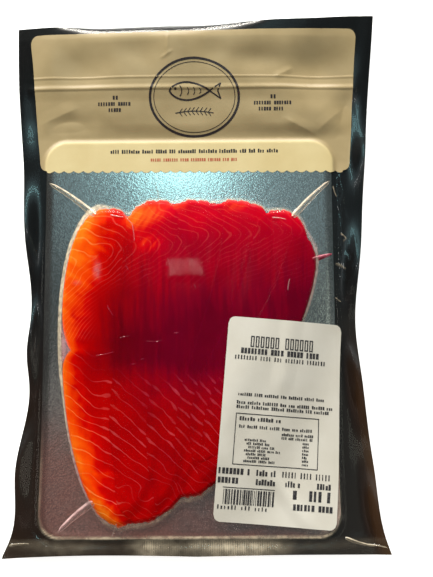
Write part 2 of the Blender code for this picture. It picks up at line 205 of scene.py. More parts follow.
# The zip, and the header's loose film and its folds.
ZIP_TOP = 104.0
ZIP_CREST = 98.0
ZIP_FOOT = 97.1
ZIP_FADES = 91.0
ZIP_HEIGHT = 0.75
ZIP_IN_BACK = 0.6
FLANGE_HALF = 0.7
FLANGE_HEIGHT = 0.3
DENTS = (
    ((-58, 110), (14, 11), -1.8), ((-30, 117), (13, 8), -1.0), ((-12, 122), (9, 9), 0.7),
    ((9, 117), (9, 8), -1.0), ((31, 113), (15, 7), -1.8), ((62, 109), (17, 12), -3.2),
    ((-76, 112), (6, 12), 0.5), ((-66, 80), (15, 5), -0.9), ((80, 86), (8, 10), -1.6),
    ((-40, 84), (10, 7), 0.5), ((30, 84), (13, 7), 0.8), ((62, 85), (14, 9), 1.0),
)
HEADER_FOLDS = (
    ((-83, 79), (-60, 89), 6.0, 0.5), ((44, 83), (67, 71), 5.0, 0.7), ((62, 74), (78, 88), 5.0, 0.4),
    ((-14, 128), (-15, 114), 1.6, 0.25), ((-19, 113), (-11, 118), 1.6, 0.25),
    ((40, 103), (52, 109), 3.0, 0.35),
)

# The price label, how it drapes, and its two soft ridges.
LABEL_CENTRE = (42.1, -74.5)
LABEL_HALF = (30, 50)
LABEL_CORNER = 3.5
LABEL_THICK = 0.3
LABEL_TURN = math.radians(-5)
LABEL_GAP = 0.56
LABEL_OVER_FILM = 0.6
LABEL_OVER_BOARD = 0.9
LABEL_BRIDGE = 12
LABEL_DRAPE = 24
LABEL_STIFF = 5
LABEL_PULL = 3.0
LABEL_RIDGES = (((49.5, -18.0), (41.5, -62.0), 7.0, 0.8), ((35.0, -99.0), (57.0, -128.0), 6.0, 0.7))

# What lies in the pack and on its clear film, from the table up.
BACK_FILM = 0.2
BOARD_LIES = 0.24
BOARD_THICK = 0.95
FOOD_LIES = 1.22
SLICE_GAP = 0.12
SLICE_LEAST = 0.1
SLICE_UNEVEN = 0.07
CLEAR_LIES = 0.32
CLEAR_OVER_BOARD = 1.02
CLEAR_OVER_FOOD = 0.15
RIM_LIES = 0.05
FOLD_LIES = 0.06

# The sand-coloured print: its corners on the pack, and its scalloped lower edge.
PRINT_LEFT = (-81.3, -86.8)
PRINT_RIGHT = (80.0, 84.2)
PRINT_FOOT = 53.3
PRINT_TOP = (127.2, 129.0)
PRINT_CORNER = 4
SCALLOPS = 32
SCALLOP_DEPTH = 1.1
PRINT_LIES = 0.07

# The emblem, rings round a fish over a sprig, and how thick ink is and how far it lies off its sheet.
EMBLEM_MIDDLE = (-0.6, 93.2)
EMBLEM_REACH = (23.2, 20.2)
EMBLEM_RINGS = ((0, 1.25), (2.0, 0.35))
FISH_UP = 3.2
SPRIG_DOWN = 8.2
INK_LIES = 0.05
INK_THICK = 0.03
RIB_PITCH = 1.1

# Lines of words on the label: left, foot, right, letter height and seed, and if not the usual, how wide a
# letter and its block are and how tall letters stand.
CAPITALS = (1.0,)
LABEL_WORDS = (
    (-22.6, 32.0, 20.0, 2.8, 71, 0.62, 0.82, CAPITALS),
    (-25.4, 29.0, 23.6, 2.1, 72, 0.7, 0.5, (1.0, 0.9)),
    (-22.4, 11.2, 23.4, 1.5, 73, 0.7),
    (-22.8, 7.2, 27.6, 1.6, 74, 0.7),
    (-22.8, 5.0, 25.6, 1.6, 75, 0.7),
    (-20.8, -0.8, 1.0, 1.9, 76, 0.7),
    (-20.8, -4.4, 16.6, 1.5, 77, 0.7),
    (0.8, -6.9, 17.2, 1.3, 78, 0.7),
    (0.8, -8.7, 17.2, 1.3, 79, 0.7),
    (-29.2, -27.0, -12.4, 2.9, 100, 0.62, 0.78, CAPITALS),
    (-10.6, -27.0, 0.4, 2.9, 101, 0.5, 0.8),
    (2.2, -27.0, 29.0, 2.8, 102, 0.55, 0.45, CAPITALS),
    (-29.2, -31.4, -18.4, 2.8, 103, 0.62, 0.78, CAPITALS),
    (-10.6, -31.4, 0.4, 2.8, 104, 0.5, 0.8),
    (4.0, -31.4, 12.0, 2.8, 105, 0.45, 0.8),
    (19.6, -31.4, 27.0, 2.8, 106, 0.5, 0.8),
    (16.0, -37.4, 28.0, 5.0, 107, 0.45, 0.74, CAPITALS),
    (8.4, -42.0, 29.6, 2.9, 109, 0.62, 0.8, CAPITALS),
    (-28.5, -43.8, -2.0, 2.0, 110, 0.85, 0.45),
)

# The camera that took the photograph, fitted to the label, the board and the pouch.
CAMERA_PLACE = (13.33 * MM, -58.68 * MM, 406.16 * MM)
CAMERA_TURN = (7.2095, 0.4729, -0.3627)
CAMERA_LENS = 49.91

# Soft lights: where each one is and what it faces, its size, its colour and how bright its face looks.
LIGHTS = (
    ("key_behind", (-0.25, 1.15, 0.54), (0, 0, 0.02), (1.5, 0.4), "#FFFAF0", 19.0),
    ("fill_left", (-1.5, -0.1, 0.5), (0, 0, 0), (0.8, 1.2), "#FFF6EA", 1.0),
    ("fill_right", (1.5, 0.0, 0.5), (0, 0, 0), (0.8, 1.2), "#FFF6EA", 1.0),
    ("fill_front", (0.1, -1.4, 0.45), (0, 0, 0), (1.2, 0.5), "#FFE6D0", 1.2),
    ("front_low", (0.05, -0.95, 0.8), (0, -0.1, 0), (1.2, 0.12), "#F4DCB4", 2.0),
    ("side_left", (-0.6, -0.15, 0.75), (0, 0, 0), (0.12, 0.7), "#C8B8AC", 0.08),
    ("pale_ceiling", (-0.037, 0.37, 0.9), (-0.037, 0.37, 0), (0.46, 0.42), "#A8C4CC", 0.45),
    ("pale_wall", (-0.25, -0.11, 0.9), (-0.25, -0.11, 0), (0.09, 0.16), "#C8BEB6", 0.5),
    ("doorway", (0.245, -0.04, 0.9), (0.245, -0.04, 0), (0.05, 0.35), "#C8D0C0", 1.2),
    ("side_right", (0.6, -0.1, 0.75), (0, 0, 0), (0.12, 0.8), "#D8D6C8", 0.9),
    ("sky_window", (-0.062, 0.42, 0.9), (-0.03, 0.1, 0.0), (0.13, 0.3), "#B4F0F4", 4.0),
    ("small_window", (-0.002, 0.138, 0.8), (0, 0, 0), (0.08, 0.045), "#FFFFFF", 5.2),
    ("warm_wall", (-0.15, -0.25, 0.9), (-0.03, -0.1, 0.0), (0.4, 0.4), "#C8907C", 0.18),
)


def soft_step(value, low, high):
    """0 at low, 1 at high, and a smooth rise between."""
    t = np.clip((value - low) / (high - low), 0, 1)
    return t * t * (3 - 2 * t)


def bump(value, middle, width):
    """1 at middle, and a smooth fall to 0 at this width on both sides."""
    return 1 - soft_step(np.abs(value - middle), 0, width)


def curve_through(points, at):
    """Reads a smooth curve through (place, value) points."""
    places, values = np.array(points, float).T
    slopes = np.gradient(values, places)
    i = np.clip(np.searchsorted(places, at) - 1, 0, len(places) - 2)
    gap = places[i + 1] - places[i]
    t = np.clip((at - places[i]) / gap, 0, 1)
    rise = t * t * (3 - 2 * t)
    leaving = (t**3 - 2 * t**2 + t) * gap * slopes[i]
    arriving = (t**3 - t**2) * gap * slopes[i + 1]
    return values[i] * (1 - rise) + values[i + 1] * rise + leaving + arriving


def drift(x, y, size, seed):
    """Smooth random unevenness from -1 to 1, with lumps about this far apart."""
    lattice = np.random.default_rng(seed).uniform(-1, 1, (LATTICE, LATTICE))
    u = x / size + LATTICE / 2
    v = y / size + LATTICE / 2
    i = np.floor(u).astype(int)
    j = np.floor(v).astype(int)
    s = soft_step(u - i, 0, 1)
    t = soft_step(v - j, 0, 1)
    here, right, row, above = (place % LATTICE for place in (i, i + 1, j, j + 1))
    low = lattice[here, row] * (1 - s) + lattice[right, row] * s
    high = lattice[here, above] * (1 - s) + lattice[right, above] * s
    return low * (1 - t) + high * t


def along_line(x, y, start, end):
    """How far along a line a point is, from 0 to 1, and how far beside it."""
    run = np.subtract(end, start)
    length = np.hypot(*run)
    along = ((x - start[0]) * run[0] + (y - start[1]) * run[1]) / length**2
    return along, np.abs((x - start[0]) * run[1] - (y - start[1]) * run[0]) / length


def spot(x, y, middle, size, power=1.0):
    """1 at a middle and a smooth fall round it, over these lengths in X and Y."""
    apart = ((x - middle[0]) / size[0]) ** 2 + ((y - middle[1]) / size[1]) ** 2
    return np.exp(-(apart**power))


def corner_cut(from_middle, half, corner):
    """How much shorter a sheet is, at this distance from its middle line, where its corners are round."""
    into_corner = np.clip((np.abs(from_middle) - half + corner) / corner, 0, 1)
    return corner * (1 - np.sqrt(1 - into_corner**2))


def drawn_in(across, along):
    """The place on the pack of a point of the flat pouch, both given from -1 to 1."""
    y = along * PACK_HALF_LENGTH
    y = y - soft_step(along, 0.8, 1.0) * curve_through(TOP_EDGE, across * PACK_HALF_WIDTH)
    y = y + np.clip(-along, 0, 1) ** 6 * FOOT_EDGE_RISE * np.sin(np.clip(across + 1, 0, 1) * math.pi)
    y = y - soft_step(-along, 0.85, 1.0) * FOOT_LEFT_LONGER * (1 - soft_step(across, -0.5, 0.6))
    left = curve_through(LEFT_SIDE, y)
    right = curve_through(RIGHT_SIDE, y)
    return left + (right - left) * (across + 1) / 2, y


def edge_distance(x, y):
    """How far a point is from the nearer side of the pouch, positive inside."""
    return np.minimum(x - curve_through(LEFT_SIDE, y), curve_through(RIGHT_SIDE, y) - x)


def board_distance(x, y):
    """Distance outside the board's rounded outline, negative on the board."""
    from_side = np.abs(x - BOARD_CENTRE[0]) - (BOARD_HALF[0] - BOARD_CORNER)
    from_end = np.abs(y - BOARD_CENTRE[1]) - (BOARD_HALF[1] - BOARD_CORNER)
    outside = np.hypot(np.maximum(from_side, 0), np.maximum(from_end, 0))
    return outside + np.minimum(np.maximum(from_side, from_end), 0) - BOARD_CORNER


def slice_place(number):
    """One slice's middle and its lean from +Y."""
    (top_x, top_y), (foot_x, foot_y) = SLICES[number][:2]
    return (top_x + foot_x) / 2, (top_y + foot_y) / 2, math.atan2(top_x - foot_x, top_y - foot_y)


def slice_size(number):
    """One slice's half length and half width, and how blunt its top is."""
    (top_x, top_y), (foot_x, foot_y), half_width, bluntness = SLICES[number]
    return math.hypot(top_x - foot_x, top_y - foot_y) / 2, half_width, bluntness


def to_slice(x, y, number):
    """The place across and along one slice of a point of the pack."""
    mid_x, mid_y, lean = slice_place(number)
    across = (x - mid_x) * math.cos(lean) - (y - mid_y) * math.sin(lean)
    return across, (x - mid_x) * math.sin(lean) + (y - mid_y) * math.cos(lean)


def from_slice(across, along, number):
    """The place on the pack of a point across and along one slice."""
    mid_x, mid_y, lean = slice_place(number)
    x = mid_x + across * math.cos(lean) + along * math.sin(lean)
    return x, mid_y - across * math.sin(lean) + along * math.cos(lean)


def slice_edge(x, y, number, ruffle=RUFFLE):
    """Distance outside one slice's blunt, ruffled outline, negative on it, and the place across it."""
    half_length, half_width, bluntness = slice_size(number)
    across, along = to_slice(x, y, number)
    p = np.where(along > 0, bluntness, FOOT_BLUNTNESS)
    u = np.abs(across / half_width) + 1e-9
    v = np.abs(along / half_length) + 1e-9
    reach = (u**p + v**p) ** (1 / p)
    slope = reach ** (1 - p) * np.hypot(u ** (p - 1) / half_width, v ** (p - 1) / half_length)
    distance = (reach - 1) / np.maximum(slope, 0.6 / half_width)
    turn = (across * 1.2 + along * 0.5) * 2 * math.pi / RUFFLE_LENGTH + 1.7 * number
    wave = 0.6 * np.sin(turn) + 0.4 * np.sin(2.3 * turn + along / RUFFLE_LENGTH)
    return distance + ruffle * wave * soft_step(v, 0.6, 1.0), across / half_width


def left_of_slice(number, along):
    """Where a slice's left edge lies across it, at places along it."""
    if SLICE_LEFT[number] is None:
        return np.full_like(along, -2 * slice_size(number)[1])
    x, y = np.array(SLICE_LEFT[number][::-1], float).T
    edge_across, edge_along = to_slice(x, y, number)
    return curve_through(list(zip(edge_along, edge_across)), along)


def from_slice_left(x, y, number):
    """How far a point is inside the left edge of a slice, negative to the left of it."""
    half_length, half_width, _ = slice_size(number)
    across, along = to_slice(x, y, number)
    return across - np.maximum(left_of_slice(number, np.clip(along, -half_length, half_length)), -half_width)


def pinch_depth(y):
    """How far the first slice's left edge is drawn in, at places up the pack."""
    away = y - PINCH_Y
    return PINCH_DEPTH * np.where(away > 0, np.exp(-away / PINCH_ABOVE), np.exp(away / PINCH_BELOW))


def food_distance(x, y, count=len(SLICES)):
    """Distance outside the common outline of the lowest slices, its notches and ruffles part bridged."""
    edges = (slice_edge(x, y, number, RUFFLE_BRIDGED)[0] for number in range(count))
    near = sum(np.exp(-edge / NOTCH_FILLS) for edge in edges)
    return -NOTCH_FILLS * np.log(np.maximum(near, 1e-30))


def food_height(x, y, outside, count=len(SLICES)):
    """Height of the lowest slices under a cover that takes this length to come down past their outline."""
    if count == 0:
        return np.zeros_like(x)
    height = EDGE_THICK * (1 - soft_step(food_distance(x, y, count), -FILM_INSIDE, outside))
    for number in range(count):
        distance, across = slice_edge(x, y, number, RUFFLE_BRIDGED)
        from_left = from_slice_left(x, y, number)
        to_right = LAYER_SPREAD / slice_size(number)[1]
        layer = LAYER_THICK * soft_step(from_left, 0, LAYER_SPREAD) * soft_step(-distance, 0, LAYER_ENDS)
        height += layer * (1 - soft_step(across, 1 - to_right, 1))
        step = STEP_THICK * soft_step(from_left, -STEP_SPREAD, STEP_SPREAD)
        step *= 1 - soft_step(from_left, 4, 22)
        height += step * (1 - soft_step(distance, -STEP_SPREAD, STEP_SPREAD))
    return height


def pleat_height(x, y):
    """Height of the tented film between the food and the board."""
    height = np.zeros_like(x)
    for start, end, rise in PLEATS:
        along, beside = along_line(x, y, start, end)
        width = PLEAT_HALF_WIDTH * (1 - 0.4 * np.clip(along, 0, 1))
        fade = soft_step(along, -0.3, 0.0) * (1 - np.clip(along, 0, 1) ** 1.5)
        height = np.maximum(height, rise * fade * (1 - soft_step(beside, 0, width)))
    return height


def zip_height(x, y):
    """Height of the zip's track and flange, flattened where the side seals cross them."""
    rising = np.clip((ZIP_TOP - y) / (ZIP_TOP - ZIP_CREST), 0, 1)
    rising = 0.3 * rising + 0.7 * soft_step(rising, 0.55, 1)
    falling = 0.5 * soft_step(y, ZIP_FOOT, ZIP_CREST) + 0.5 * soft_step(y, ZIP_FADES, ZIP_CREST)
    track = ZIP_HEIGHT * rising * falling
    flange = FLANGE_HEIGHT * (1 - soft_step(np.abs(y - ZIP_TOP), 0, FLANGE_HALF))
    return (track + flange) * (0.25 + 0.75 * soft_step(edge_distance(x, y), SEAL_WIDTH - 2, SEAL_WIDTH))


def dent_height(x, y):
    """Soft swells and dents of the loose film in the header, none on the board."""
    height = sum(rise * spot(x, y, middle, size) for middle, size, rise in DENTS)
    for start, end, half_width, rise in HEADER_FOLDS:
        along, beside = along_line(x, y, start, end)
        ends = soft_step(along, 0, 0.3) * (1 - soft_step(along, 0.7, 1))
        height += rise * ends * (1 - np.clip(beside / half_width, 0, 1)) ** 1.5
    inside = soft_step(edge_distance(x, y), 2, 12)
    return height * inside * soft_step(board_distance(x, y), 1, 8)


def back_height(x, y):
    """Height of the pouch's back above the surface it lies on: 0 under the food, lifted at the ends."""
    bow = BOW_HEIGHT * (np.clip(BOW_STARTS - y, 0, None) / BOW_REACH) ** 2
    middle = np.cos(np.clip(x / PACK_HALF_WIDTH, -1, 1) * math.pi / 2) ** 0.7
    rise = np.clip((y - HEADER_STARTS) / HEADER_REACH, 0, 1)
    arch = HEADER_LIFT * (0.7 * rise + 0.3 * soft_step(rise, 0, 1)) * (0.35 + 0.65 * middle)
    higher = np.clip((y - HEADER_RIGHT_STARTS) / HEADER_RIGHT_REACH, 0, 1) ** 1.2
    arch = arch + HEADER_RIGHT * higher * soft_step(x, 5, 60)
    top_edge = PACK_HALF_LENGTH - curve_through(TOP_EDGE, x)
    curl = np.clip((top_edge - y) / CURL_LENGTH, 0, 1)
    curled = np.sqrt(np.clip(1 - (1 - curl) ** 2, 0, 1))
    left_of_middle = soft_step(x, -80, -45) * (1 - soft_step(x, -10, 45))
    arch = arch * (1 - left_of_middle * (1 - curled))
    near_side = 1 - soft_step(edge_distance(x, y), 0, 9)
    off_board = soft_step(board_distance(x, y), 0, 6)
    wave = SIDE_WAVE * (1 + np.sin(y * 2 * math.pi / SIDE_WAVE_LENGTH + np.sign(x) * 1.1))
    wave *= near_side * off_board * (1 - WAVE_CALMED * soft_step(y, 60, 85))
    return np.maximum(bow + arch + wave + dent_height(x, y), 0)


def creases(x, y):
    """Fine puckers of the front film: in the channels beside the board, at the foot and in the header."""
    off_board = soft_step(board_distance(x, y), 1.5, 5)
    channel = off_board * (1 - soft_step(y, 48, 60)) * soft_step(edge_distance(x, y), 0.5, 4)
    right = soft_step(x, -10, 10)
    fine = 0.3 * (1 + drift(x, y * 0.7 + 0.3 * x, 3.2, 4)) * right * soft_step(y, -24, -6)
    fine *= 1 - soft_step(board_distance(x, y), 6, 11)
    puckers = (0.1 + 0.22 * right) * (1 + drift(x, y * 0.4 + 0.2 * x, 9, 3)) + fine
    foot = 0.4 * (1 + drift(x, y * 0.6, 13, 5)) * (1 - soft_step(y, -131, -126)) * off_board
    header = soft_step(y, 72, 80) * soft_step(edge_distance(x, y), 5, 15)
    loose = 0.5 * (1 + drift(x, y, 23, 7)) + 0.1 * (1 + drift(x + 0.3 * y, y, 7, 8))
    return puckers * channel + foot + loose * header


def foot_seal(y):
    """1 on the crimped seal along the foot, 0 above it."""
    return 1 - soft_step(y, *FOOT_SEAL)


def drawn_flat(x, y, food):
    """Food heights with the taut patch put in the plane through the heights round it."""
    probes = np.array([(u, v) for u in (-1, -0.5, 0, 0.5, 1) for v in (-1, 0, 1)]) * TAUT_HALF
    heights = food_height(TAUT_MIDDLE[0] + probes[:, 0], TAUT_MIDDLE[1] + probes[:, 1], FILM_OUTSIDE)
    sides = np.column_stack([np.ones(len(probes)), probes])
    level, rise_x, rise_y = np.linalg.lstsq(sides, heights, rcond=None)[0]
    plane = level + rise_x * (x - TAUT_MIDDLE[0]) + rise_y * (y - TAUT_MIDDLE[1]) + TAUT_LIES
    across = np.abs(x - TAUT_MIDDLE[0]) - TAUT_HALF[0] - 0.8 * drift(x, y, 2.5, 91)
    along = np.abs(y - TAUT_MIDDLE[1]) - TAUT_HALF[1] - 1.2 * drift(x, y, 2.0, 92)
    share = 1 - soft_step(np.maximum(across, along), 0, TAUT_EDGE)
    return food + (plane - food) * share


def clear_height(x, y):
    """Height of the clear front film over everything in the pouch."""
    board = CLEAR_OVER_BOARD * (1 - soft_step(board_distance(x, y), -BOARD_EDGE_ROUND, BOARD_SLOPE))
    food = drawn_flat(x, y, food_height(x, y, FILM_OUTSIDE))
    lift = CLEAR_OVER_FOOD * soft_step(food, 0, 0.6) + np.maximum(food, PLEAT_SPREAD * pleat_height(x, y))
    return back_height(x, y) + CLEAR_LIES + board + lift + zip_height(x, y) + creases(x, y)


def label_height(x, y):
    """Height of the label's underside: stiff paper, which bridges the film's steps with wide slopes."""
    board = LABEL_OVER_BOARD * (1 - soft_step(board_distance(x, y), -BOARD_EDGE_ROUND, LABEL_BRIDGE))
    around = ((0, 0), (LABEL_STIFF, 0), (-LABEL_STIFF, 0), (0, LABEL_STIFF), (0, -LABEL_STIFF))
    height = sum(food_height(x + right, y + up, LABEL_DRAPE) for right, up in around) / len(around) + board
    for start, end, half_width, rise in LABEL_RIDGES:
        along, beside = along_line(x, y, start, end)
        ends = soft_step(along, -0.15, 0.2) * (1 - soft_step(along, 0.75, 1.1))
        height += rise * ends * (1 - soft_step(beside, 0, half_width))
    return back_height(x, y) + LABEL_OVER_FILM + height + LABEL_GAP


def on_label(flat_x, flat_y):
    """The place on the pack of a point of the flat label, whose top right is drawn in by the drape."""
    to_right = np.clip(flat_x / LABEL_HALF[0] + 1, 0, 2) / 2
    flat_x = flat_x - LABEL_PULL * to_right**1.5 * soft_step(flat_y, -35, 50)
    x = LABEL_CENTRE[0] + flat_x * math.cos(LABEL_TURN) - flat_y * math.sin(LABEL_TURN)
    return x, LABEL_CENTRE[1] + flat_x * math.sin(LABEL_TURN) + flat_y * math.cos(LABEL_TURN)


def linear(code):
    """An sRGB hex colour as linear values with full opacity."""
    parts = [int(code[i : i + 2], 16) / 255 for i in (1, 3, 5)]
    return (*(c / 12.92 if c <= 0.04045 else ((c + 0.055) / 1.055) ** 2.4 for c in parts), 1)


def add(tree, kind, inputs=None, **settings):
    """Adds one node, makes its settings, and fills or links its inputs."""
    made = tree.nodes.new(kind)
    for name, value in settings.items():
        setattr(made, name, value)
    for name, value in (inputs or {}).items():
        if isinstance(value, bpy.types.NodeSocket):
            tree.links.new(value, made.inputs[name])
        else:
            made.inputs[name].default_value = value
    return made


def place_on(tree):
    """The place of a point on its object, in metres."""
    return add(tree, "ShaderNodeTexCoord").outputs["Object"]


def noted(tree, name):
    """A number that the piece stores at its points."""
    return add(tree, "ShaderNodeAttribute", attribute_name=name).outputs["Fac"]


def noise(tree, place, scale, detail):
    """Soft random unevenness from 0 to 1, its lumps about 1000 / scale millimetres apart."""
    inputs = {"Vector": place, "Scale": scale, "Detail": detail}
    return add(tree, "ShaderNodeTexNoise", inputs).outputs["Fac"]


def sums(tree, operation, *values):
    """One sum on numbers."""
    return add(tree, "ShaderNodeMath", dict(enumerate(values)), operation=operation).outputs[0]


def ranged(tree, value, low, high, to_low, to_high, **settings):
    """A number whose range from low to high is mapped to another range."""
    return add(tree, "ShaderNodeMapRange", {"Value": value, "From Min": low, "From Max": high,
                                            "To Min": to_low, "To Max": to_high}, **settings).outputs[0]


def ramp(tree, value, stops):
    """A colour that follows a number, through (place, sRGB hex) stops."""
    made = add(tree, "ShaderNodeValToRGB", {"Fac": value})
    stretch = made.color_ramp.elements
    while len(stretch) > 1:
        stretch.remove(stretch[-1])
    for i, (place, code) in enumerate(stops):
        stop = stretch[0] if i == 0 else stretch.new(place)
        stop.position = place
        stop.color = linear(code)
    return made.outputs[0]


def blended(tree, share, under, over, blend="MIX"):
    """One colour laid over another."""
    return add(tree, "ShaderNodeMix", {"Factor": share, "A": under, "B": over}, data_type="RGBA",
               blend_type=blend).outputs["Result"]


def relief_of(tree, height, strength, depth, **under):
    """A bump of this depth, over another one if that is given."""
    inputs = {"Height": height, "Strength": strength, "Distance": depth, **under}
    return add(tree, "ShaderNodeBump", inputs).outputs[0]


def principled(tree, colour, roughness, relief=None, others=None):
    """A Principled shader."""
    inputs = {"Base Color": colour, "Roughness": roughness, **(others or {})}
    if relief:
        inputs["Normal"] = relief
    return add(tree, "ShaderNodeBsdfPrincipled", inputs).outputs[0]


def mixed(tree, share, under, over):
    """One shader laid over another."""
    return add(tree, "ShaderNodeMixShader", {0: share, 1: under, 2: over}).outputs[0]


def blank(name):
    """A material without nodes, and its node tree."""
    made = bpy.data.materials.new(name)
    made.use_nodes = True
    made.node_tree.nodes.clear()
    return made, made.node_tree


def finished(made, shader):
    """The material with this shader on its surface."""
    add(made.node_tree, "ShaderNodeOutputMaterial", {"Surface": shader})
    return made


def film_relief(tree, place, sag_scale, sag_detail, sag_strength):
    """The relief of a film's soft sag over the crimp of its foot seal, and the crimp's ribs."""
    # At scale 1 the bands of a wave texture are 2 pi / 20 apart.
    scale = 2 * math.pi / 20 / (RIB_PITCH * MM)
    inputs = {"Vector": place, "Scale": scale, "Distortion": 0.6, "Detail Scale": 0.2}
    ribs = add(tree, "ShaderNodeTexWave", inputs, bands_direction="X").outputs["Fac"]
    crimp = relief_of(tree, sums(tree, "MULTIPLY", ribs, noted(tree, "crimped")), 0.6, 0.08 * MM)
    sag = noise(tree, place, sag_scale, sag_detail)
    return relief_of(tree, sag, sag_strength, 0.3 * MM, Normal=crimp), ribs


def black_pouch_film():
    """Black nylon and polyethylene film: near black, with a painted warm brown reflection low down, its foot
    crimped 1.1 mm apart.
    """
    made, tree = blank("black_pouch_film")
    relief, _ = film_relief(tree, place_on(tree), 160, 3, 0.1)
    # Painted reflection: brown tones that stand in for a warm surround mirrored in the film.
    tone = ramp(tree, noted(tree, "thin"), ((0.0, "#08090A"), (0.5, "#24160C"), (1.0, "#4A2F14")))
    return finished(made, principled(tree, tone, 0.24, relief, {"IOR": 1.5}))


def clear_pouch_film():
    """Clear nylon and polyethylene film: gloss over sags of 5 mm, milky where the vacuum pulls it, and
    painted highlights.
    """
    made, tree = blank("clear_pouch_film")
    place = place_on(tree)
    relief, ribs = film_relief(tree, place, 220, 2, 0.08)
    # Schlick's curve, the same from both sides: the Fresnel node would turn light back under the film.
    grazing = add(tree, "ShaderNodeLayerWeight", {"Normal": relief}).outputs["Facing"]
    bare = sums(tree, "MULTIPLY_ADD", sums(tree, "POWER", grazing, 5.0), 0.9, 0.018)
    through = add(tree, "ShaderNodeBsdfTransparent").outputs[0]
    gloss = principled(tree, linear("#FFFFFF"), 0.1, relief, {"Metallic": 1.0})
    film = mixed(tree, sums(tree, "MULTIPLY", bare, noted(tree, "shine")), through, gloss)
    # Milky veil: whitened film, and painted highlights and glints where the film bends.
    milk = ramp(tree, noted(tree, "pink"), ((0.0, "#F0E0C4"), (0.6, "#EBBFC4"), (1.0, "#E0557E")))
    patchy = ranged(tree, noise(tree, place, 420, 2), 0.3, 0.65, 0.45, 1.0)
    veil = sums(tree, "MULTIPLY", noted(tree, "stretched"), patchy)
    # Painted highlights on the foot seal: milky satin patches with faint ribs, standing in for the crimp's
    # reflections.
    worn = ranged(tree, noise(tree, place, 260, 3), 0.3, 0.7, 0.3, 0.9)
    rubbed = sums(tree, "MULTIPLY_ADD", ribs, 0.3, worn)
    share = sums(tree, "MAXIMUM", veil, sums(tree, "MULTIPLY", rubbed, noted(tree, "satin")))
    return finished(made, mixed(tree, share, film, principled(tree, milk, 0.3, relief)))


def foil_board():
    """Aluminium foil on card: a soft metal sheen over a leather grain of 1 mm, smeared with pink brine, and
    a painted warm reflection toward the foot.
    """
    made, tree = blank("foil_laminated_card")
    place = place_on(tree)
    cells = add(tree, "ShaderNodeTexVoronoi", {"Vector": place, "Scale": 1000 / 0.9, "Randomness": 1.0})
    height = sums(tree, "ADD", cells.outputs["Distance"], noise(tree, place, 1000 / 1.6, 4))
    relief = relief_of(tree, height, 0.4, 0.055 * MM)
    rough = ranged(tree, noise(tree, place, 30, 4), 0.3, 0.7, 0.15, 0.21)
    smeared = ranged(tree, noise(tree, place, 120, 4), 0.3, 0.7, 0.6, 1.0)
    # Pink brine and a painted warm reflection, most toward the foot and the lower left.
    wet = sums(tree, "MULTIPLY", noted(tree, "juice"), smeared)
    tint = ramp(tree, wet, ((0.0, "#D3D6D4"), (0.5, "#E0C0B8"), (1.0, "#E8B4A8")))
    pitted = blended(tree, 1.0, tint, ranged(tree, height, 0.5, 1.3, 1.0, 0.68), "MULTIPLY")
    shine = principled(tree, pitted, rough, relief, {"Metallic": 1.0})
    stain = principled(tree, linear("#A8706A"), 0.3, relief, {"IOR": 1.34})
    return finished(made, mixed(tree, sums(tree, "MULTIPLY", wet, 0.22), shine, stain))


def cured_salmon():
    """Salmon cured in salt and beetroot: orange, stained crimson in streaks 1.6 mm apart, with pale fat."""
    made, tree = blank("beetroot_cured_salmon")
    place = place_on(tree)
    uneven = sums(tree, "MULTIPLY_ADD", noise(tree, place, 95, 3), 0.16, -0.08)
    # The stain follows the cut muscle fibres.
    drawn = add(tree, "ShaderNodeMapping", {"Vector": place, "Rotation": (0, 0, math.radians(7)),
                                           "Scale": (1.0, 0.07, 1.0)}).outputs[0]
    streak = ranged(tree, noise(tree, drawn, 1000 / 1.6, 3), 0.3, 0.7, -0.09, 0.09)
    clouded = sums(tree, "ADD", noted(tree, "stain"), uneven)
    level = sums(tree, "MULTIPLY_ADD", streak, noted(tree, "fibred"), clouded)
    scarlet = ramp(tree, level, ((0.0, "#FF7814"), (0.12, "#F85406"), (0.28, "#EC3200"), (0.40, "#D20600"),
                                 (0.55, "#B20002"), (0.70, "#980008"), (0.85, "#80000E"), (1.0, "#6A000E")))
    crimson = ramp(tree, level, ((0.0, "#FF7A30"), (0.28, "#E82A20"), (0.40, "#D2001E"), (0.55, "#AE0020"),
                                 (0.70, "#94001C"), (0.85, "#800020"), (1.0, "#6C001E")))
    flesh = blended(tree, noted(tree, "crimson"), scarlet, crimson)
    # Lines of fat, told from the phase that rises by one from each line to the next.
    shift = sums(tree, "MULTIPLY_ADD", noise(tree, place, 150, 2), 0.34, -0.17)
    part = sums(tree, "FRACT", sums(tree, "ADD", noted(tree, "fat_phase"), shift))
    off = sums(tree, "ABSOLUTE", sums(tree, "SUBTRACT", part, 0.5))
    width = noted(tree, "fat_width")
    faded = sums(tree, "MULTIPLY", width, 1.9)
    line = ranged(tree, off, width, faded, 1.0, 0.0, interpolation_type="SMOOTHSTEP")
    kept = ranged(tree, noise(tree, place, 70, 2), 0.36, 0.52, 0.35, 1.0)
    fat = sums(tree, "MULTIPLY", sums(tree, "MULTIPLY", line, noted(tree, "fat_show")), kept)
    pale = ramp(tree, level, ((0.0, "#FFB458"), (0.25, "#FF8440"), (0.45, "#EC5A50"), (0.7, "#C03850"),
                              (1.0, "#8A1C40")))
    # Muscle fibres are finer than the render shows, so they are drawn 1.2 mm apart.
    relief = relief_of(tree, noise(tree, place, 1000 / 1.2, 3), 0.12, 0.15 * MM)
    glow = {"IOR": 1.1, "Subsurface Weight": 0.25, "Subsurface Radius": (1.0, 0.25, 0.12),
            "Subsurface Scale": 1.2 * MM}
    return finished(made, principled(tree, blended(tree, fat, flesh, pale), 0.4, relief, glow))


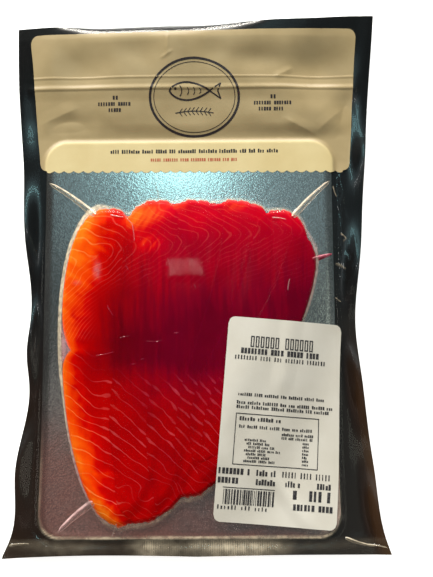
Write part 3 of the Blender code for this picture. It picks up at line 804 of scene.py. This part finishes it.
def sand_print():
    """White-backed ink: sand-coloured, satin over sags of 4 mm, lighter over foil than over black film,
    partly as painted shade.
    """
    made, tree = blank("sand_flexographic_ink")
    place = place_on(tree)
    cloud = noise(tree, place, 60, 4)
    over_foil = ramp(tree, cloud, ((0.3, "#D8C490"), (0.7, "#E2D09E")))
    over_black = ramp(tree, cloud, ((0.3, "#A8946C"), (0.7, "#B4A078")))
    # Darker off the board: partly the black film behind the ink, partly painted shade where the header
    # rises.
    shown = blended(tree, noted(tree, "backed"), over_black, over_foil)
    relief = relief_of(tree, noise(tree, place, 260, 2), 0.08, 0.3 * MM)
    return finished(made, principled(tree, shown, 0.38, relief, {"IOR": 1.45}))


def ink(name, code, worn):
    """Printing ink of one colour, faintly uneven over 1 mm where the plate or the print head missed."""
    made, tree = blank(name)
    tone = ramp(tree, noise(tree, place_on(tree), 900, 2), ((0.45, code), (0.8, worn)))
    return finished(made, principled(tree, tone, 0.4, others={"IOR": 1.45}))


def thermal_paper():
    """Top-coated direct thermal paper: off-white, clouded over 20 mm, with a faint tooth of 0.8 mm."""
    made, tree = blank("top_coated_thermal_paper")
    place = place_on(tree)
    tone = ramp(tree, noise(tree, place, 45, 5), ((0.35, "#D8D3C8"), (0.65, "#E1DDD4")))
    relief = relief_of(tree, noise(tree, place, 1000 / 0.8, 3), 0.05, 0.1 * MM)
    return finished(made, principled(tree, tone, 0.5, relief, {"IOR": 1.45}))


def beetroot_brine():
    """Brine stained by beetroot, held in a fold of the film: wet and dark red, clouded over 2 mm."""
    made, tree = blank("beetroot_brine")
    tone = ramp(tree, noise(tree, place_on(tree), 500, 2), ((0.35, "#7A0A24"), (0.7, "#B8506A")))
    return finished(made, principled(tree, tone, 0.12, others={"IOR": 1.34}))


def flat_grid(name, columns, rows):
    """A flat grid from -1 to 1 in X and Y, as a new piece."""
    bpy.ops.object.select_all(action="DESELECT")
    bpy.ops.mesh.primitive_grid_add(x_subdivisions=columns, y_subdivisions=rows, size=2)
    piece = bpy.context.object
    piece.name = name
    piece.data.name = name
    return piece


def give_wall(piece):
    """Gives a flat piece a wall one unit thick, and says where its points are and which are on its front."""
    bpy.context.view_layer.objects.active = piece
    wall = piece.modifiers.new("wall", "SOLIDIFY")
    wall.thickness = 1
    wall.offset = -1
    bpy.ops.object.modifier_apply(modifier=wall.name)
    across, along, level = points_of(piece)
    return across, along, level > -0.5


def points_of(piece):
    """The piece's points as three arrays."""
    flat = np.empty(len(piece.data.vertices) * 3)
    piece.data.vertices.foreach_get("co", flat)
    return flat.reshape(-1, 3).T


def move_points(piece, x, y, z):
    """Puts the piece's points at these places and shades it smooth, sharp only at its rim."""
    piece.data.vertices.foreach_set("co", np.stack([x, y, z], axis=1).ravel() * MM)
    piece.data.update()
    bpy.ops.object.select_all(action="DESELECT")
    piece.select_set(True)
    bpy.context.view_layer.objects.active = piece
    bpy.ops.object.shade_smooth_by_angle(angle=math.radians(50))


def note(piece, **numbers):
    """Stores numbers at the piece's points, for the material to read."""
    for name, values in numbers.items():
        spread = np.broadcast_to(values, len(piece.data.vertices)).astype(np.float32)
        piece.data.attributes.new(name, "FLOAT", "POINT").data.foreach_set("value", spread)


def joined(strips, name):
    """The strips as one piece."""
    bpy.ops.object.select_all(action="DESELECT")
    for strip in strips:
        strip.select_set(True)
    bpy.context.view_layer.objects.active = strips[0]
    bpy.ops.object.join()
    piece = bpy.context.object
    piece.name = name
    piece.data.name = name
    return piece


def finish_piece(piece, material, slot="film", node="vacuum_pouch"):
    """Gives the piece its material, hangs it on the root and hides the solid that it stands for; slot is not
    used.
    """
    piece.data.materials.clear()
    piece.data.materials.append(material)
    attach(piece, "root")
    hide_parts(node)


def make_back_film(material):
    """The black back film, out to the pouch's edges, with the crimped foot seal."""
    piece = flat_grid("black_back_film", 150, 220)
    across, along, front = give_wall(piece)
    x, y = drawn_in(across, along)
    lift = np.where(front, BACK_FILM + ZIP_IN_BACK * zip_height(x, y), 0)
    move_points(piece, x, y, back_height(x, y) + lift)
    # Painted warm reflection: the black film turns brown toward the foot, most at its outer edges.
    low = soft_step(-y, -10, 95)
    outer = 1 - soft_step(edge_distance(x, y), 1, np.where(x > 0, 13, 20))
    thin = low * np.where(x > 0, 0.2 + 0.8 * outer**1.5, 0.4 + 0.35 * outer)
    note(piece, crimped=foot_seal(y), thin=thin * (0.85 + 0.3 * drift(x, y, 20, 33)))
    finish_piece(piece, material)


def make_board(material):
    """The foil-faced board, its rim pressed down by the cut."""
    piece = flat_grid("foil_board", 100, 140)
    across, along, front = give_wall(piece)
    flat_x = across * BOARD_HALF[0]
    x = BOARD_CENTRE[0] + flat_x
    y = BOARD_CENTRE[1] + along * (BOARD_HALF[1] - corner_cut(flat_x, BOARD_HALF[0], BOARD_CORNER))
    rim = BOARD_RIM_PRESSED * soft_step(board_distance(x, y), -BOARD_RIM_WIDTH, 0)
    move_points(piece, x, y, back_height(x, y) + BOARD_LIES + np.where(front, BOARD_THICK - rim, 0))
    # Brine and a painted warm reflection: most toward the foot and the lower left, with a brighter painted
    # patch at the foot.
    low = soft_step(-y, 58, 104)
    left = 1 - soft_step(x, -66, 10)
    brine = low * (0.55 + 0.3 * left + 0.1 * drift(x, y, 9, 61)) + 0.5 * spot(x, y, (-20, -127), (13, 6))
    note(piece, juice=np.clip(brine, 0, 1))
    finish_piece(piece, material)


def stain_of(x, y, number):
    """How far the beetroot has stained the flesh, with a faint painted shade along upper slices' left edges:
    0 orange, 0.45 red, 1 dark purple.
    """
    inwards = x - curve_through(FOOD_LEFT, y) - pinch_depth(y)
    band = (y - DARK_BAND_Y) / np.where(y > DARK_BAND_Y, 27, 19)
    dark = 0.42 * soft_step(inwards, 8, 30) - 0.08 * bump(inwards, 48, 12)
    dark = (dark + 0.08 * soft_step(inwards, 55, 80)) * np.exp(-(band**2))
    streaks = drift(x + 0.1 * y, y * 0.08, 1.9, 13) + 0.7 * drift(x + 0.12 * y, y * 0.15, 4.5, 15)
    wide = curve_through(ORANGE_WIDE, y) + 2.2 * drift(x, y, 7, 19) + 1.2 * drift(x, y, 2.6, 20)
    blend = 6 + 3 * soft_step(-y, 50, 70)
    level = 0.05 + 0.05 * soft_step(-y, 18, 34) + 0.17 * soft_step(inwards, 0, wide)
    level += 0.25 * soft_step(inwards, wide - blend, wide + 7) + 0.11 * soft_step(inwards, 16, 45)
    level += dark * (1 + 0.25 * streaks)
    level += 0.12 * bump(y, PINCH_Y - 2, 15) * soft_step(inwards, -1, 4)
    slanted = drift(0.5 * x + 0.8 * y, 0.25 * (x - y), 2.0, 21)
    level += 0.06 * slanted * (1 - soft_step(inwards, wide + 2, wide + 9))
    level -= 0.13 * soft_step(y, 10, 32) * soft_step(inwards, 10, 30)
    level += 0.12 * soft_step(x, 38, 52) * (1 - soft_step(y, 12, 34))
    if number > 0:
        from_left = from_slice_left(x, y, number)
        pale, reach = (0.24, 10) if number == 1 else (0.08, 5)
        level -= pale * (1 - soft_step(from_left, 0.5, reach)) * soft_step(y, 21, 34)
        # Painted shade: a faint darkening along the left edge of each upper slice, where it lies over the
        # one below.
        level += 0.02 * (1 - soft_step(from_left, 0.2, 1.4)) * (1 - soft_step(y, 12, 24))
    combed = 1 + 0.55 * drift(x - 0.8 * y, 0.15 * (x + y), 1.5, 22)
    for middle, size, fade in PALE_PATCHES:
        level -= fade * spot(x, y, middle, size) * combed
    return np.clip(level + 0.04 * drift(x, y, 13, 11), 0.02, 1)


def crimson_of(x, y):
    """How blue the red is: scarlet to the left and at the foot, crimson in the middle and to the right."""
    return soft_step(x, -45, -8) * soft_step(y, -78, -40)


def fibred_of(x, y):
    """How much the stain follows the muscle fibres: most in the dark band across the slices."""
    in_band = soft_step(y, -62, -42) * (1 - soft_step(y, 4, 20))
    return 0.12 + 0.7 * soft_step(x, -52, -30) * in_band


def fat_of(x, y, number):
    """Phase, half width and strength of the lines of fat: nested arcs above, slants below."""
    half_length, half_width, bluntness = slice_size(number)
    mid_y = slice_place(number)[1]
    reach = np.clip(np.abs(y - mid_y) / half_length, 0, 0.98)
    p = np.where(y > mid_y, bluntness, FOOT_BLUNTNESS)
    own_left = to_slice(x, y, number)[0] + half_width * (1 - reach**p) ** (1 / p)
    a = np.maximum(np.minimum(from_slice_left(x, y, number), own_left), 0)
    to_next = -from_slice_left(x, y, number + 1) if number < len(SLICES) - 1 else np.full_like(x, 20.0)
    outer = 1.0 if number == 0 else 0.0
    from_axis = y - np.interp(x, *FAT_AXIS)
    steep = 0.5 + 0.7 * outer * soft_step(-from_axis, 12, 40)
    upper = (np.sqrt(from_axis**2 + 5**2) + steep * a) / (3.3 if number == 0 else 2.7)
    low = soft_step(-y, 66, 82)
    slide = 0.82 * a
    if number == 0:
        slide = 13.5 * soft_step(a, -1, 18) * (1 - low) + 12.5 * (a / 24) ** 1.3 * low
    lower = (-y - slide) / (6.4 if number < 3 else 5.4)
    split = soft_step(-y, 35, 37) if number == 0 else soft_step(-y, 30, 40)
    phase = np.where(split > 0.5, lower, upper) + 0.37 * number
    curl = soft_step(-y, 92, 108)
    above = soft_step(y, -14, 2)
    phase += (0.14 + 0.75 * curl + 0.2 * above) * drift(x, y, 6.5, 17 + number)
    phase += 0.1 * above * drift(x, y, 2.6, 61 + number)
    phase += np.where(split > 0.5, 0.15, 0.5) * drift(x, y, 11, 71 + number)
    dashes = soft_step(-y, 50, 56) * (1 - soft_step(-y, 84, 94))
    ends = np.maximum(bump(a, 2.5, 3) * (1 - outer), bump(to_next, 2, 3)) * dashes
    below = soft_step(-y, 46, 58)
    edge = outer * (1 - soft_step(a, 9, 22)) * soft_step(np.abs(y + 36), 1, 5)
    strength = np.maximum(above * (0.26 + 0.14 * outer), below * (0.44 + 0.08 * outer + 0.26 * ends))
    strength = np.maximum(strength, edge * (0.55 + 0.25 * below))
    strength *= 0.65 + 0.35 * drift(x, y, 8, 29 + number) + 0.3 * above * drift(x, y, 5, 63 + number)
    width = np.where(split > 0.5, 0.032 + 0.05 * ends, 0.05)
    return phase, width, np.clip(strength, 0, 1)


def make_slice(number, material):
    """One hand-cut slice, lying on those below it, its thin edges under the film."""
    half_length, half_width, bluntness = slice_size(number)
    piece = flat_grid(f"salmon_slice_{number + 1}", 72, 200)
    a, b, front = give_wall(piece)
    p = np.where(b > 0, bluntness, FOOT_BLUNTNESS)
    square = np.maximum(np.abs(a), np.abs(b))
    round_off = square / np.maximum((np.abs(a) ** p + np.abs(b) ** p) ** (1 / p), 1e-6)
    u = a * round_off * half_width
    v = b * round_off * half_length
    distance = slice_edge(*from_slice(u, v, number), number)[0]
    own = half_width * (1 - np.minimum(np.abs(v / half_length), 1) ** p) ** (1 / p)
    wanted = np.maximum(left_of_slice(number, v), -own)
    covered = soft_step(-food_distance(*from_slice(wanted, v, number), number), 0, 2.5) if number else 0
    left = -own + (wanted + own) * covered
    u = left + (u + own) * (own - left) / np.maximum(2 * own, 1e-6)
    outwards = np.stack([u / half_width**2, v / half_length**2])
    outwards /= np.maximum(np.hypot(*outwards), 1e-6)
    shift = np.where(square > 0.8, np.clip(distance, -1, 1) * ((square - 0.8) / 0.2) ** 2, 0)
    x, y = from_slice(u - outwards[0] * shift, v - outwards[1] * shift, number)
    if number == 0:
        x = x + pinch_depth(y) * (1 - soft_step(a, -1, -0.45))
    under = food_height(x, y, FILM_OUTSIDE, number)
    over = food_height(x, y, FILM_OUTSIDE, number + 1)
    uneven = SLICE_UNEVEN * drift(x, y, 6, 41)
    z = np.where(front, over + uneven, np.minimum(under + SLICE_GAP, over - SLICE_LEAST))
    move_points(piece, x, y, back_height(x, y) + FOOD_LIES + z)
    phase, width, strength = fat_of(x, y, number)
    note(piece, stain=stain_of(x, y, number), crimson=crimson_of(x, y), fibred=fibred_of(x, y))
    note(piece, fat_phase=phase, fat_width=width, fat_show=strength)
    finish_piece(piece, material)


def shine_of(x, y):
    """Share of the film's gloss: wet flesh takes most of it away, but for a few glints."""
    off = food_distance(x, y)
    on_food = 1 - soft_step(off, 2.5, 5)
    glints = np.clip(bump(x, -42, 4.5) + bump(x, 42, 4), 0, 1)
    top = soft_step(y, 22, 26) * soft_step(off, -2.5, -1) * (1 - soft_step(off, 0, 1.5))
    slid = x - TAUT_MIDDLE[0] + 0.35 * (y - TAUT_MIDDLE[1])
    beside = np.maximum(np.abs(slid) - TAUT_SHINES[0], np.abs(y - TAUT_MIDDLE[1]) - TAUT_SHINES[1])
    beside = beside + 1.5 * drift(x, y, 2.6, 95)
    streaky = 0.62 + 0.38 * drift(x + 0.3 * y, 0.3 * y, 1.6, 93)
    taut = (1 - soft_step(beside, -0.8, 0.8)) * streaky
    return np.clip(1 - 0.93 * on_food + 0.45 * top * glints + taut, 0, 1)


def make_clear_film(material):
    """The clear front film, drawn down over the slices and the board."""
    piece = flat_grid("clear_front_film", 236, 346)
    across, along, _ = points_of(piece)
    x, y = drawn_in(across, along)
    move_points(piece, x, y, clear_height(x, y))
    inwards = x - curve_through(FOOD_LEFT, y)
    hollow = soft_step(pinch_depth(y) - inwards, -0.3, 1.2) * soft_step(inwards, -2.5, -1)
    haze = 0.6 * hollow * soft_step(pinch_depth(y), 0.4, 1.5) * (x < -50)
    for middle, size, share in HAZE:
        haze += share * spot(x, y, middle, size, 1.5) * (0.75 + 0.5 * drift(x, 0.4 * y, 1.3, 94))
    haze *= 0.85 + 0.15 * drift(x, y, 2, 57)
    # Partly painted highlight: a pale line along the board's edge, most at its foot, for the bevel's gleam
    # as well as whitened film.
    over_edge = 0.55 * soft_step(-y, 124, 129) + 0.2 * soft_step(-y, 70, 110)
    over_edge *= bump(board_distance(x, y), -0.5, 1.1) * (0.75 + 0.5 * drift(x, y, 7, 60))
    # Painted highlights on the foot seal: brightest in two stretches and along the seal's middle line.
    lit = 0.9 * bump(x, -20, 17) + bump(x, 18, 34) + 0.12 * bump(x, -66, 24)
    lit = np.clip(0.07 + lit * (0.8 + 0.4 * drift(x, y * 2, 8, 59)), 0, 1)
    middle = 0.45 + 0.55 * bump(y + 0.06 * x * drift(x, y, 30, 58), -133.5, 4)
    note(piece, stretched=np.maximum(haze, over_edge), pink=np.where(board_distance(x, y) < -2, 0.65, 0.0))
    note(piece, crimped=foot_seal(y), satin=0.68 * foot_seal(y) * lit * middle, shine=shine_of(x, y))
    finish_piece(piece, material)


def round_food(reach, turn):
    """A place this far from the food's middle at this angle."""
    return RIM_MIDDLE[0] + reach * np.cos(turn), RIM_MIDDLE[1] + reach * np.sin(turn)


def make_film_rim(material):
    """A milky band round the food, widest at its sides: whitened film and fat, and a painted highlight of
    the film's slope.
    """
    piece = flat_grid("film_rim", 900, 9)
    around, out, _ = points_of(piece)
    turn = around * math.pi
    offset = RIM_REACH[0] + (RIM_REACH[1] - RIM_REACH[0]) * (out + 1) / 2
    near, far = (np.full_like(turn, reach) for reach in RIM_SEARCH)
    for _ in range(RIM_HALVINGS):
        middle = (near + far) / 2
        inside = food_distance(*round_food(middle, turn)) < offset
        near = np.where(inside, middle, near)
        far = np.where(inside, far, middle)
    x, y = round_food(near, turn)
    move_points(piece, x, y, clear_height(x, y) + RIM_LIES)
    left = 1 - soft_step(x, -58, -40)
    right = soft_step(x, 50, 58)
    top = soft_step(y, 26, 31) * soft_step(x, -50, -42)
    foot = soft_step(-y, 84, 104) * soft_step(x, -56, -40)
    ragged = 0.35 + 0.65 * np.clip(0.5 + 1.2 * drift(x, y, 4, 52), 0, 1)
    # Painted highlight in part: the rim is brightest at the sides, at the foot and along the top.
    strength = np.clip(0.25 + 0.75 * left + 0.75 * right + 0.42 * foot * ragged + 0.25 * top, 0.04, 0.97)
    strength = np.clip(strength - 0.45 * right * soft_step(y, 4, 12), 0.04, 0.97)
    reach = 0.7 + 1.1 * left * soft_step(y, -64, -44) - 0.6 * top
    band = soft_step(offset, -0.5, 0.2) * (1 - soft_step(offset, reach, reach + 0.8))
    rosy = np.maximum(0.35 * right, 0.5 * soft_step(-y, 62, 100) * (1 - foot))
    note(piece, stretched=strength * band * (0.85 + 0.15 * drift(x, y, 3, 51)),
         pink=np.clip(rosy + 0.15 * foot, 0, 1), crimped=0, satin=0, shine=shine_of(x, y))
    finish_piece(piece, material)


def make_folds(material):
    """The pleats that fan out from the food's corners, and small creases over it, as folds of the film, with
    painted highlights.
    """
    strips = []
    for number, ((x0, y0), (x1, y1), half, rise, milk, pink) in enumerate(FOLDS):
        strip = flat_grid(f"film_fold_{number}", 10, 44)
        across, along, _ = points_of(strip)
        t = (along + 1) / 2
        length = math.hypot(x1 - x0, y1 - y0)
        bend = 0.03 * length * np.sin(t * math.pi) * (-1) ** number
        taper = soft_step(t, -0.12, 0.12) * (1 - 0.5 * t) * (1 - soft_step(t, 0.88, 1.03))
        off = (across * half * taper + bend) / length
        x = x0 + (x1 - x0) * t + (y1 - y0) * off
        y = y0 + (y1 - y0) * t + (x0 - x1) * off
        ridge = rise * taper * (1 - np.abs(across) ** 1.3)
        move_points(strip, x, y, clear_height(x, y) + FOLD_LIES + ridge)
        low = -1 if x1 > x0 else 1
        # Painted highlights: two bright lines down a pleat's slopes, or one down the middle of a thin
        # crease.
        sides = 0.22 + 1.1 * bump(across, 0.62 * low, 0.42) + 0.9 * bump(across, -0.8 * low, 0.3)
        shown = sides * (1 - soft_step(np.abs(across), 0.92, 1)) if half > 0.6 else bump(across, 0, 1.1)
        note(strip, stretched=milk * np.clip(shown, 0, 1) * soft_step(taper, 0, 0.3), pink=pink, crimped=0,
             satin=0, shine=1)
        strips.append(strip)
    finish_piece(joined(strips, "film_folds"), material)


def make_brine(material):
    """Brine caught in the pleat at the food's right side."""
    piece = flat_grid("brine_in_pleat", 24, 8)
    across, along, front = give_wall(piece)
    start, end = np.array(PLEATS[BRINE_PLEAT][:2])
    run = end - start
    t = (across + 1) / 2
    off = along * (1.5 * (1 - t) ** 0.7 + 0.25) / np.hypot(*run)
    x = start[0] + run[0] * t - run[1] * off
    y = start[1] + run[1] * t + run[0] * off
    swell = 1.0 * (1 - t) * (1 - along**2) + 0.08
    move_points(piece, x, y, back_height(x, y) + FOOD_LIES + np.where(front, swell, 0))
    finish_piece(piece, material)


def make_header_print(material):
    """The sand-coloured print across the header, its lower edge scalloped."""
    piece = flat_grid("header_print", 320, 150)
    across, along, front = give_wall(piece)
    t = (along + 1) / 2
    left = PRINT_LEFT[0] + (PRINT_LEFT[1] - PRINT_LEFT[0]) * t
    right = PRINT_RIGHT[0] + (PRINT_RIGHT[1] - PRINT_RIGHT[0]) * t
    half = (right - left) / 2
    x = left + (across + 1) * half
    shorter = corner_cut(across * half, half, PRINT_CORNER)
    # The corners have no scallops.
    scallop = SCALLOP_DEPTH * np.abs(np.cos((across + 1) / 2 * SCALLOPS * math.pi)) * (shorter == 0)
    foot = shorter + SCALLOP_DEPTH - scallop - 0.4 * across
    level_top = (PRINT_TOP[0] + PRINT_TOP[1]) / 2
    top = PRINT_TOP[0] + (PRINT_TOP[1] - PRINT_TOP[0]) * (across + 1) / 2 - shorter - level_top
    y = PRINT_FOOT + (level_top - PRINT_FOOT) * t
    y = y + foot * (1 - soft_step(t, 0, 0.3)) + top * soft_step(t, 0.75, 1)
    move_points(piece, x, y, clear_height(x, y) + PRINT_LIES + np.where(front, INK_THICK, 0))
    # Lighter over the board, darker off it: partly the black film behind, partly painted shade where the
    # header rises.
    note(piece, backed=1 - soft_step(board_distance(x, y), 0.2, 1.6))
    finish_piece(piece, material)


def words(x0, y, x1, high, seed, letter=0.62, fill=0.78, heights=(1.0, 0.75, 0.75, 1.0)):
    """Corners of upright blocks that stand for a line of printed words from x0 to x1."""
    draw = np.random.default_rng(seed)
    blocks = []
    x = x0
    while x < x1 - letter * high:
        for _ in range(draw.integers(3, 9)):
            if x + letter * high > x1:
                break
            tall = high * draw.choice(heights)
            wide = letter * high * fill * draw.choice((1.0, 0.9, 0.7))
            blocks.append((x, y, x + wide, y + tall))
            x += letter * high
        x += letter * high * 0.9
    return blocks


def boxes(x0, y, x1, high, line, count, gaps):
    """Corners of a row of hollow boxes, with these places in the row left empty."""
    pitch = (x1 - x0) / count
    blocks = []
    for i in sorted(set(range(count)) - set(gaps)):
        left = x0 + i * pitch
        right = left + pitch * 0.74
        blocks += [(left, y, left + line, y + high), (right - line, y, right, y + high)]
        blocks += [(left + line, edge, right - line, edge + line) for edge in (y + high - line, y)]
    return blocks


def rule(x0, y0, x1, y1):
    """Corners of a printed bar, cut about every 1.5 mm along its length so that it follows the film."""
    edges = np.linspace(x0, x1, max(1, round((x1 - x0) / 1.5)) + 1)
    return [(start, y0, end, y1) for start, end in zip(edges[:-1], edges[1:])]


def barcode(x0, y0, x1, y1, seed):
    """Corners of random upright bars."""
    draw = np.random.default_rng(seed)
    blocks = []
    x = x0
    while x < x1:
        wide = 0.3 * draw.choice((1, 1, 2, 3))
        blocks.append((x, y0, x + wide, y1))
        x += wide + 0.3 * draw.choice((1, 1, 2))
    return blocks


def print_blocks(name, blocks, lay, material, *stands_for):
    """Prints upright blocks, given by their corners, on the surface that lay finds."""
    columns = 2 * len(blocks) - 1
    piece = flat_grid(name, columns, 4)
    spots = np.empty(len(piece.data.polygons) * 3)
    piece.data.polygons.foreach_get("center", spots)
    column = ((spots[::3] + 1) / 2 * columns).astype(int)
    bpy.context.tool_settings.mesh_select_mode = (False, False, True)
    piece.data.polygons.foreach_set("select", column % 2 == 1)
    bpy.ops.object.mode_set(mode="EDIT")
    bpy.ops.mesh.delete(type="FACE")
    bpy.ops.object.mode_set(mode="OBJECT")
    across, along, front = give_wall(piece)
    edge = np.rint((across + 1) / 2 * columns).astype(int)
    corners = np.array(blocks)[edge // 2]
    flat_x = np.where(edge % 2 == 0, corners[:, 0], corners[:, 2])
    flat_y = corners[:, 1] + (corners[:, 3] - corners[:, 1]) * (along + 1) / 2
    x, y, z = lay(flat_x, flat_y)
    move_points(piece, x, y, z + INK_LIES + np.where(front, INK_THICK, 0))
    finish_piece(piece, material, *stands_for)


def lay_on_header(x, y):
    """A printed point of the header, on top of the sand-coloured print."""
    return x, y, clear_height(x, y) + PRINT_LIES + INK_THICK


def lay_on_label(flat_x, flat_y):
    """A printed point of the label, on top of its paper."""
    x, y = on_label(flat_x, flat_y)
    return x, y, label_height(x, y) + LABEL_THICK


def print_strokes(name, strokes, material):
    """Prints lines of ink on the header, given as paths with the width of each."""
    strips = []
    for number, (path, width) in enumerate(strokes):
        strip = flat_grid(f"{name}_{number}", len(path) - 1, 1)
        across, along, front = give_wall(strip)
        i = np.rint((across + 1) / 2 * (len(path) - 1)).astype(int)
        run = np.gradient(path, axis=0)
        if np.allclose(path[0], path[-1]):
            run[0] = run[-1] = path[1] - path[-2]
        run /= np.maximum(np.hypot(*run.T), 1e-6)[:, None]
        off = along * width / 2
        x, y, z = lay_on_header(path[i, 0] - run[i, 1] * off, path[i, 1] + run[i, 0] * off)
        move_points(strip, x, y, z + INK_LIES + np.where(front, INK_THICK, 0))
        strips.append(strip)
    finish_piece(joined(strips, name), material)


def arc_path(x, y, reach_x, reach_y, half_turn, steps):
    """Points of an elliptic arc round a place in the emblem, this many degrees to both sides of +X."""
    turn = np.radians(np.linspace(-half_turn, half_turn, steps + 1))
    return np.stack([x + reach_x * np.cos(turn), y + reach_y * np.sin(turn)], axis=1) + EMBLEM_MIDDLE


def make_emblem(dark):
    """A plain oval emblem: a fish over a sprig of dill, inside a thick and a thin line."""
    mid_x, mid_y = EMBLEM_MIDDLE
    strokes = [(arc_path(0, 0, EMBLEM_REACH[0] - inset, EMBLEM_REACH[1] - inset, 180, 360), width)
               for inset, width in EMBLEM_RINGS]
    t = np.linspace(0, 1, 29)
    for side in (1, -1):
        back = side * 4.6 * np.sin(math.pi * t**0.8) ** 0.85
        strokes.append((np.stack([mid_x - 13 + 21 * t, mid_y + FISH_UP + back], axis=1), 0.95))
    tail = ((8, 0), (13.8, 4), (12.2, 0), (13.8, -4), (8, 0))
    for start, end in zip(tail[:-1], tail[1:]):
        strokes.append((np.linspace(start, end, 5) + (mid_x, mid_y + FISH_UP), 0.7))
    gill = arc_path(-9.8, FISH_UP, 3.2, 3.6, 48, 12)
    eye = arc_path(-9.9, FISH_UP + 1.1, 0.35, 0.35, 180, 10)
    strokes += [(gill, 0.5), (eye, 0.6)]
    for x, half in ((-3.2, 2.2), (0.0, 2.2), (3.2, 1.6)):
        strokes.append((arc_path(x - 1.6, FISH_UP, 1.8, half, 55, 8), 0.4))
    stem = np.stack([mid_x - 10 + 20 * t, mid_y - SPRIG_DOWN + 1.1 * np.sin(math.pi * t)], axis=1)
    strokes.append((stem, 0.5))
    for i in range(3, 27, 3):
        for side in (1, -1):
            strokes.append((np.linspace(stem[i], stem[i] + np.array((1.5, side * 2.0)), 4), 0.4))
    print_strokes("header_emblem", strokes, dark)


def make_header_words(dark, rust):
    """Blocks of print either side of the emblem and under it."""
    blocks = []
    for middle, lengths in ((-42.0, (18.0, 7.0)), (40.5, (20.0, 15.0))):
        for row, length in enumerate(lengths):
            left = middle - length / 2
            blocks += words(left, 89.0 - 3.2 * row, left + length, 1.9, 50 + row, 0.7, 0.8, CAPITALS)
        blocks += [(middle - 1.3, 92.2, middle - 0.3, 94.2), (middle + 0.3, 92.2, middle + 1.3, 94.2)]
    blocks += words(-44.5, 63.8, 43.5, 2.0, 60, 0.6)
    print_blocks("header_words", blocks, lay_on_header, dark)
    address = words(-23.5, 59.4, 22.5, 1.6, 61, 0.7, 0.8, CAPITALS)
    print_blocks("header_address", address, lay_on_header, rust)


def make_label(material):
    """The thermal paper label, draped over the food's edge and the board's side."""
    piece = flat_grid("thermal_label", 90, 150)
    across, along, front = give_wall(piece)
    flat_x = across * LABEL_HALF[0]
    x, y = on_label(flat_x, along * (LABEL_HALF[1] - corner_cut(flat_x, LABEL_HALF[0], LABEL_CORNER)))
    move_points(piece, x, y, label_height(x, y) + np.where(front, LABEL_THICK, 0))
    finish_piece(piece, material, "label", "price_label")


def make_label_print(material):
    """Thermal print on the label: heading, notes, a table in a frame, dates, a barcode and a price."""
    blocks = boxes(-18.0, 35.4, 15.5, 5.6, 0.6, 13, (6,))
    for line in LABEL_WORDS:
        blocks += words(*line)
    blocks += rule(-22.6, 2.3, 19.4, 2.7) + rule(-22.6, -22.3, 19.4, -21.9) + rule(-26.5, -33.6, -1.0, -33.2)
    blocks += [(-22.8, -22.3, -22.4, 2.7), (19.2, -22.3, 19.6, 2.7), (8.0, -37.0, 9.9, -32.8)]
    for row in range(7):
        y = -10.6 - 1.7 * row
        blocks += words(-17.5 + row % 3, y, -6.5 + 2.5 * (row % 4), 1.2, 80 + row, 0.7)
        blocks += words(11.6, y, 15.6, 1.2, 90 + row, 0.7)
    blocks += barcode(-26.0, -41.4, -1.5, -34.2, 9)
    print_blocks("label_print", blocks, lay_on_label, material, "label", "price_label")


def make_camera():
    """The photograph's camera, from above, a little towards the foot."""
    data = bpy.data.cameras.new("camera")
    data.sensor_fit = "VERTICAL"
    data.sensor_height = 36
    data.sensor_width = 27
    data.lens = CAMERA_LENS
    data.clip_start = 0.01
    camera = bpy.data.objects.new("camera", data)
    camera.location = CAMERA_PLACE
    camera.rotation_euler = Euler([math.radians(a) for a in CAMERA_TURN])
    bpy.context.scene.collection.objects.link(camera)
    bpy.context.scene.camera = camera


def make_light(name, place, target, size, colour, radiance):
    """A soft rectangular light aimed at a point, its power worked out from how bright its face looks."""
    data = bpy.data.lights.new(name, "AREA")
    data.shape = "RECTANGLE"
    data.size, data.size_y = size
    data.color = linear(colour)[:3]
    data.energy = radiance * math.pi * size[0] * size[1]
    light = bpy.data.objects.new(name, data)
    light.location = place
    light.rotation_euler = (Vector(place) - Vector(target)).to_track_quat("Z", "Y").to_euler()
    bpy.context.scene.collection.objects.link(light)


def make_stage_plane(name, place, size, colour, glow):
    """A matt plane that belongs to the stage: the floor, or a dark card for the glossy film to mirror."""
    bpy.ops.object.select_all(action="DESELECT")
    bpy.ops.mesh.primitive_plane_add(size=1, location=place)
    plane = bpy.context.object
    plane.name = name
    plane.scale = (size[0], size[1], 1)
    made, tree = blank(name + "_paint")
    lit = {"Emission Color": linear("#FFFFFF"), "Emission Strength": glow}
    plane.data.materials.append(finished(made, principled(tree, linear(colour), 0.9, others=lit)))


def make_studio():
    """A plain pale floor, a dark card, soft lights and a dim surround."""
    make_stage_plane("floor", (0, 0, -0.3 * MM), (6, 6), "#F6F6F5", 0.8)
    make_stage_plane("dark_card", (-0.76, -0.05, 1.0), (0.9, 1.3), "#101010", 0.0)
    for light in LIGHTS:
        make_light(*light)
    world = bpy.data.worlds.new("surround")
    bpy.context.scene.world = world
    world.use_nodes = True
    background = world.node_tree.nodes["Background"].inputs
    background["Color"].default_value = linear("#7E8A8C")
    background["Strength"].default_value = 0.4
    bpy.context.scene.view_settings.view_transform = "Standard"


def main():
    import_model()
    make_camera()
    make_studio()
    make_back_film(black_pouch_film())
    make_board(foil_board())
    salmon = cured_salmon()
    for number in range(len(SLICES)):
        make_slice(number, salmon)
    make_brine(beetroot_brine())
    clear = clear_pouch_film()
    make_clear_film(clear)
    make_film_rim(clear)
    make_folds(clear)
    make_header_print(sand_print())
    dark = ink("brown_black_ink", "#241A1C", "#3A2C2A")
    make_emblem(dark)
    make_header_words(dark, ink("rust_ink", "#B4573A", "#C87A58"))
    make_label(thermal_paper())
    make_label_print(ink("thermal_print", "#2C2A2E", "#5C5A5C"))


main()
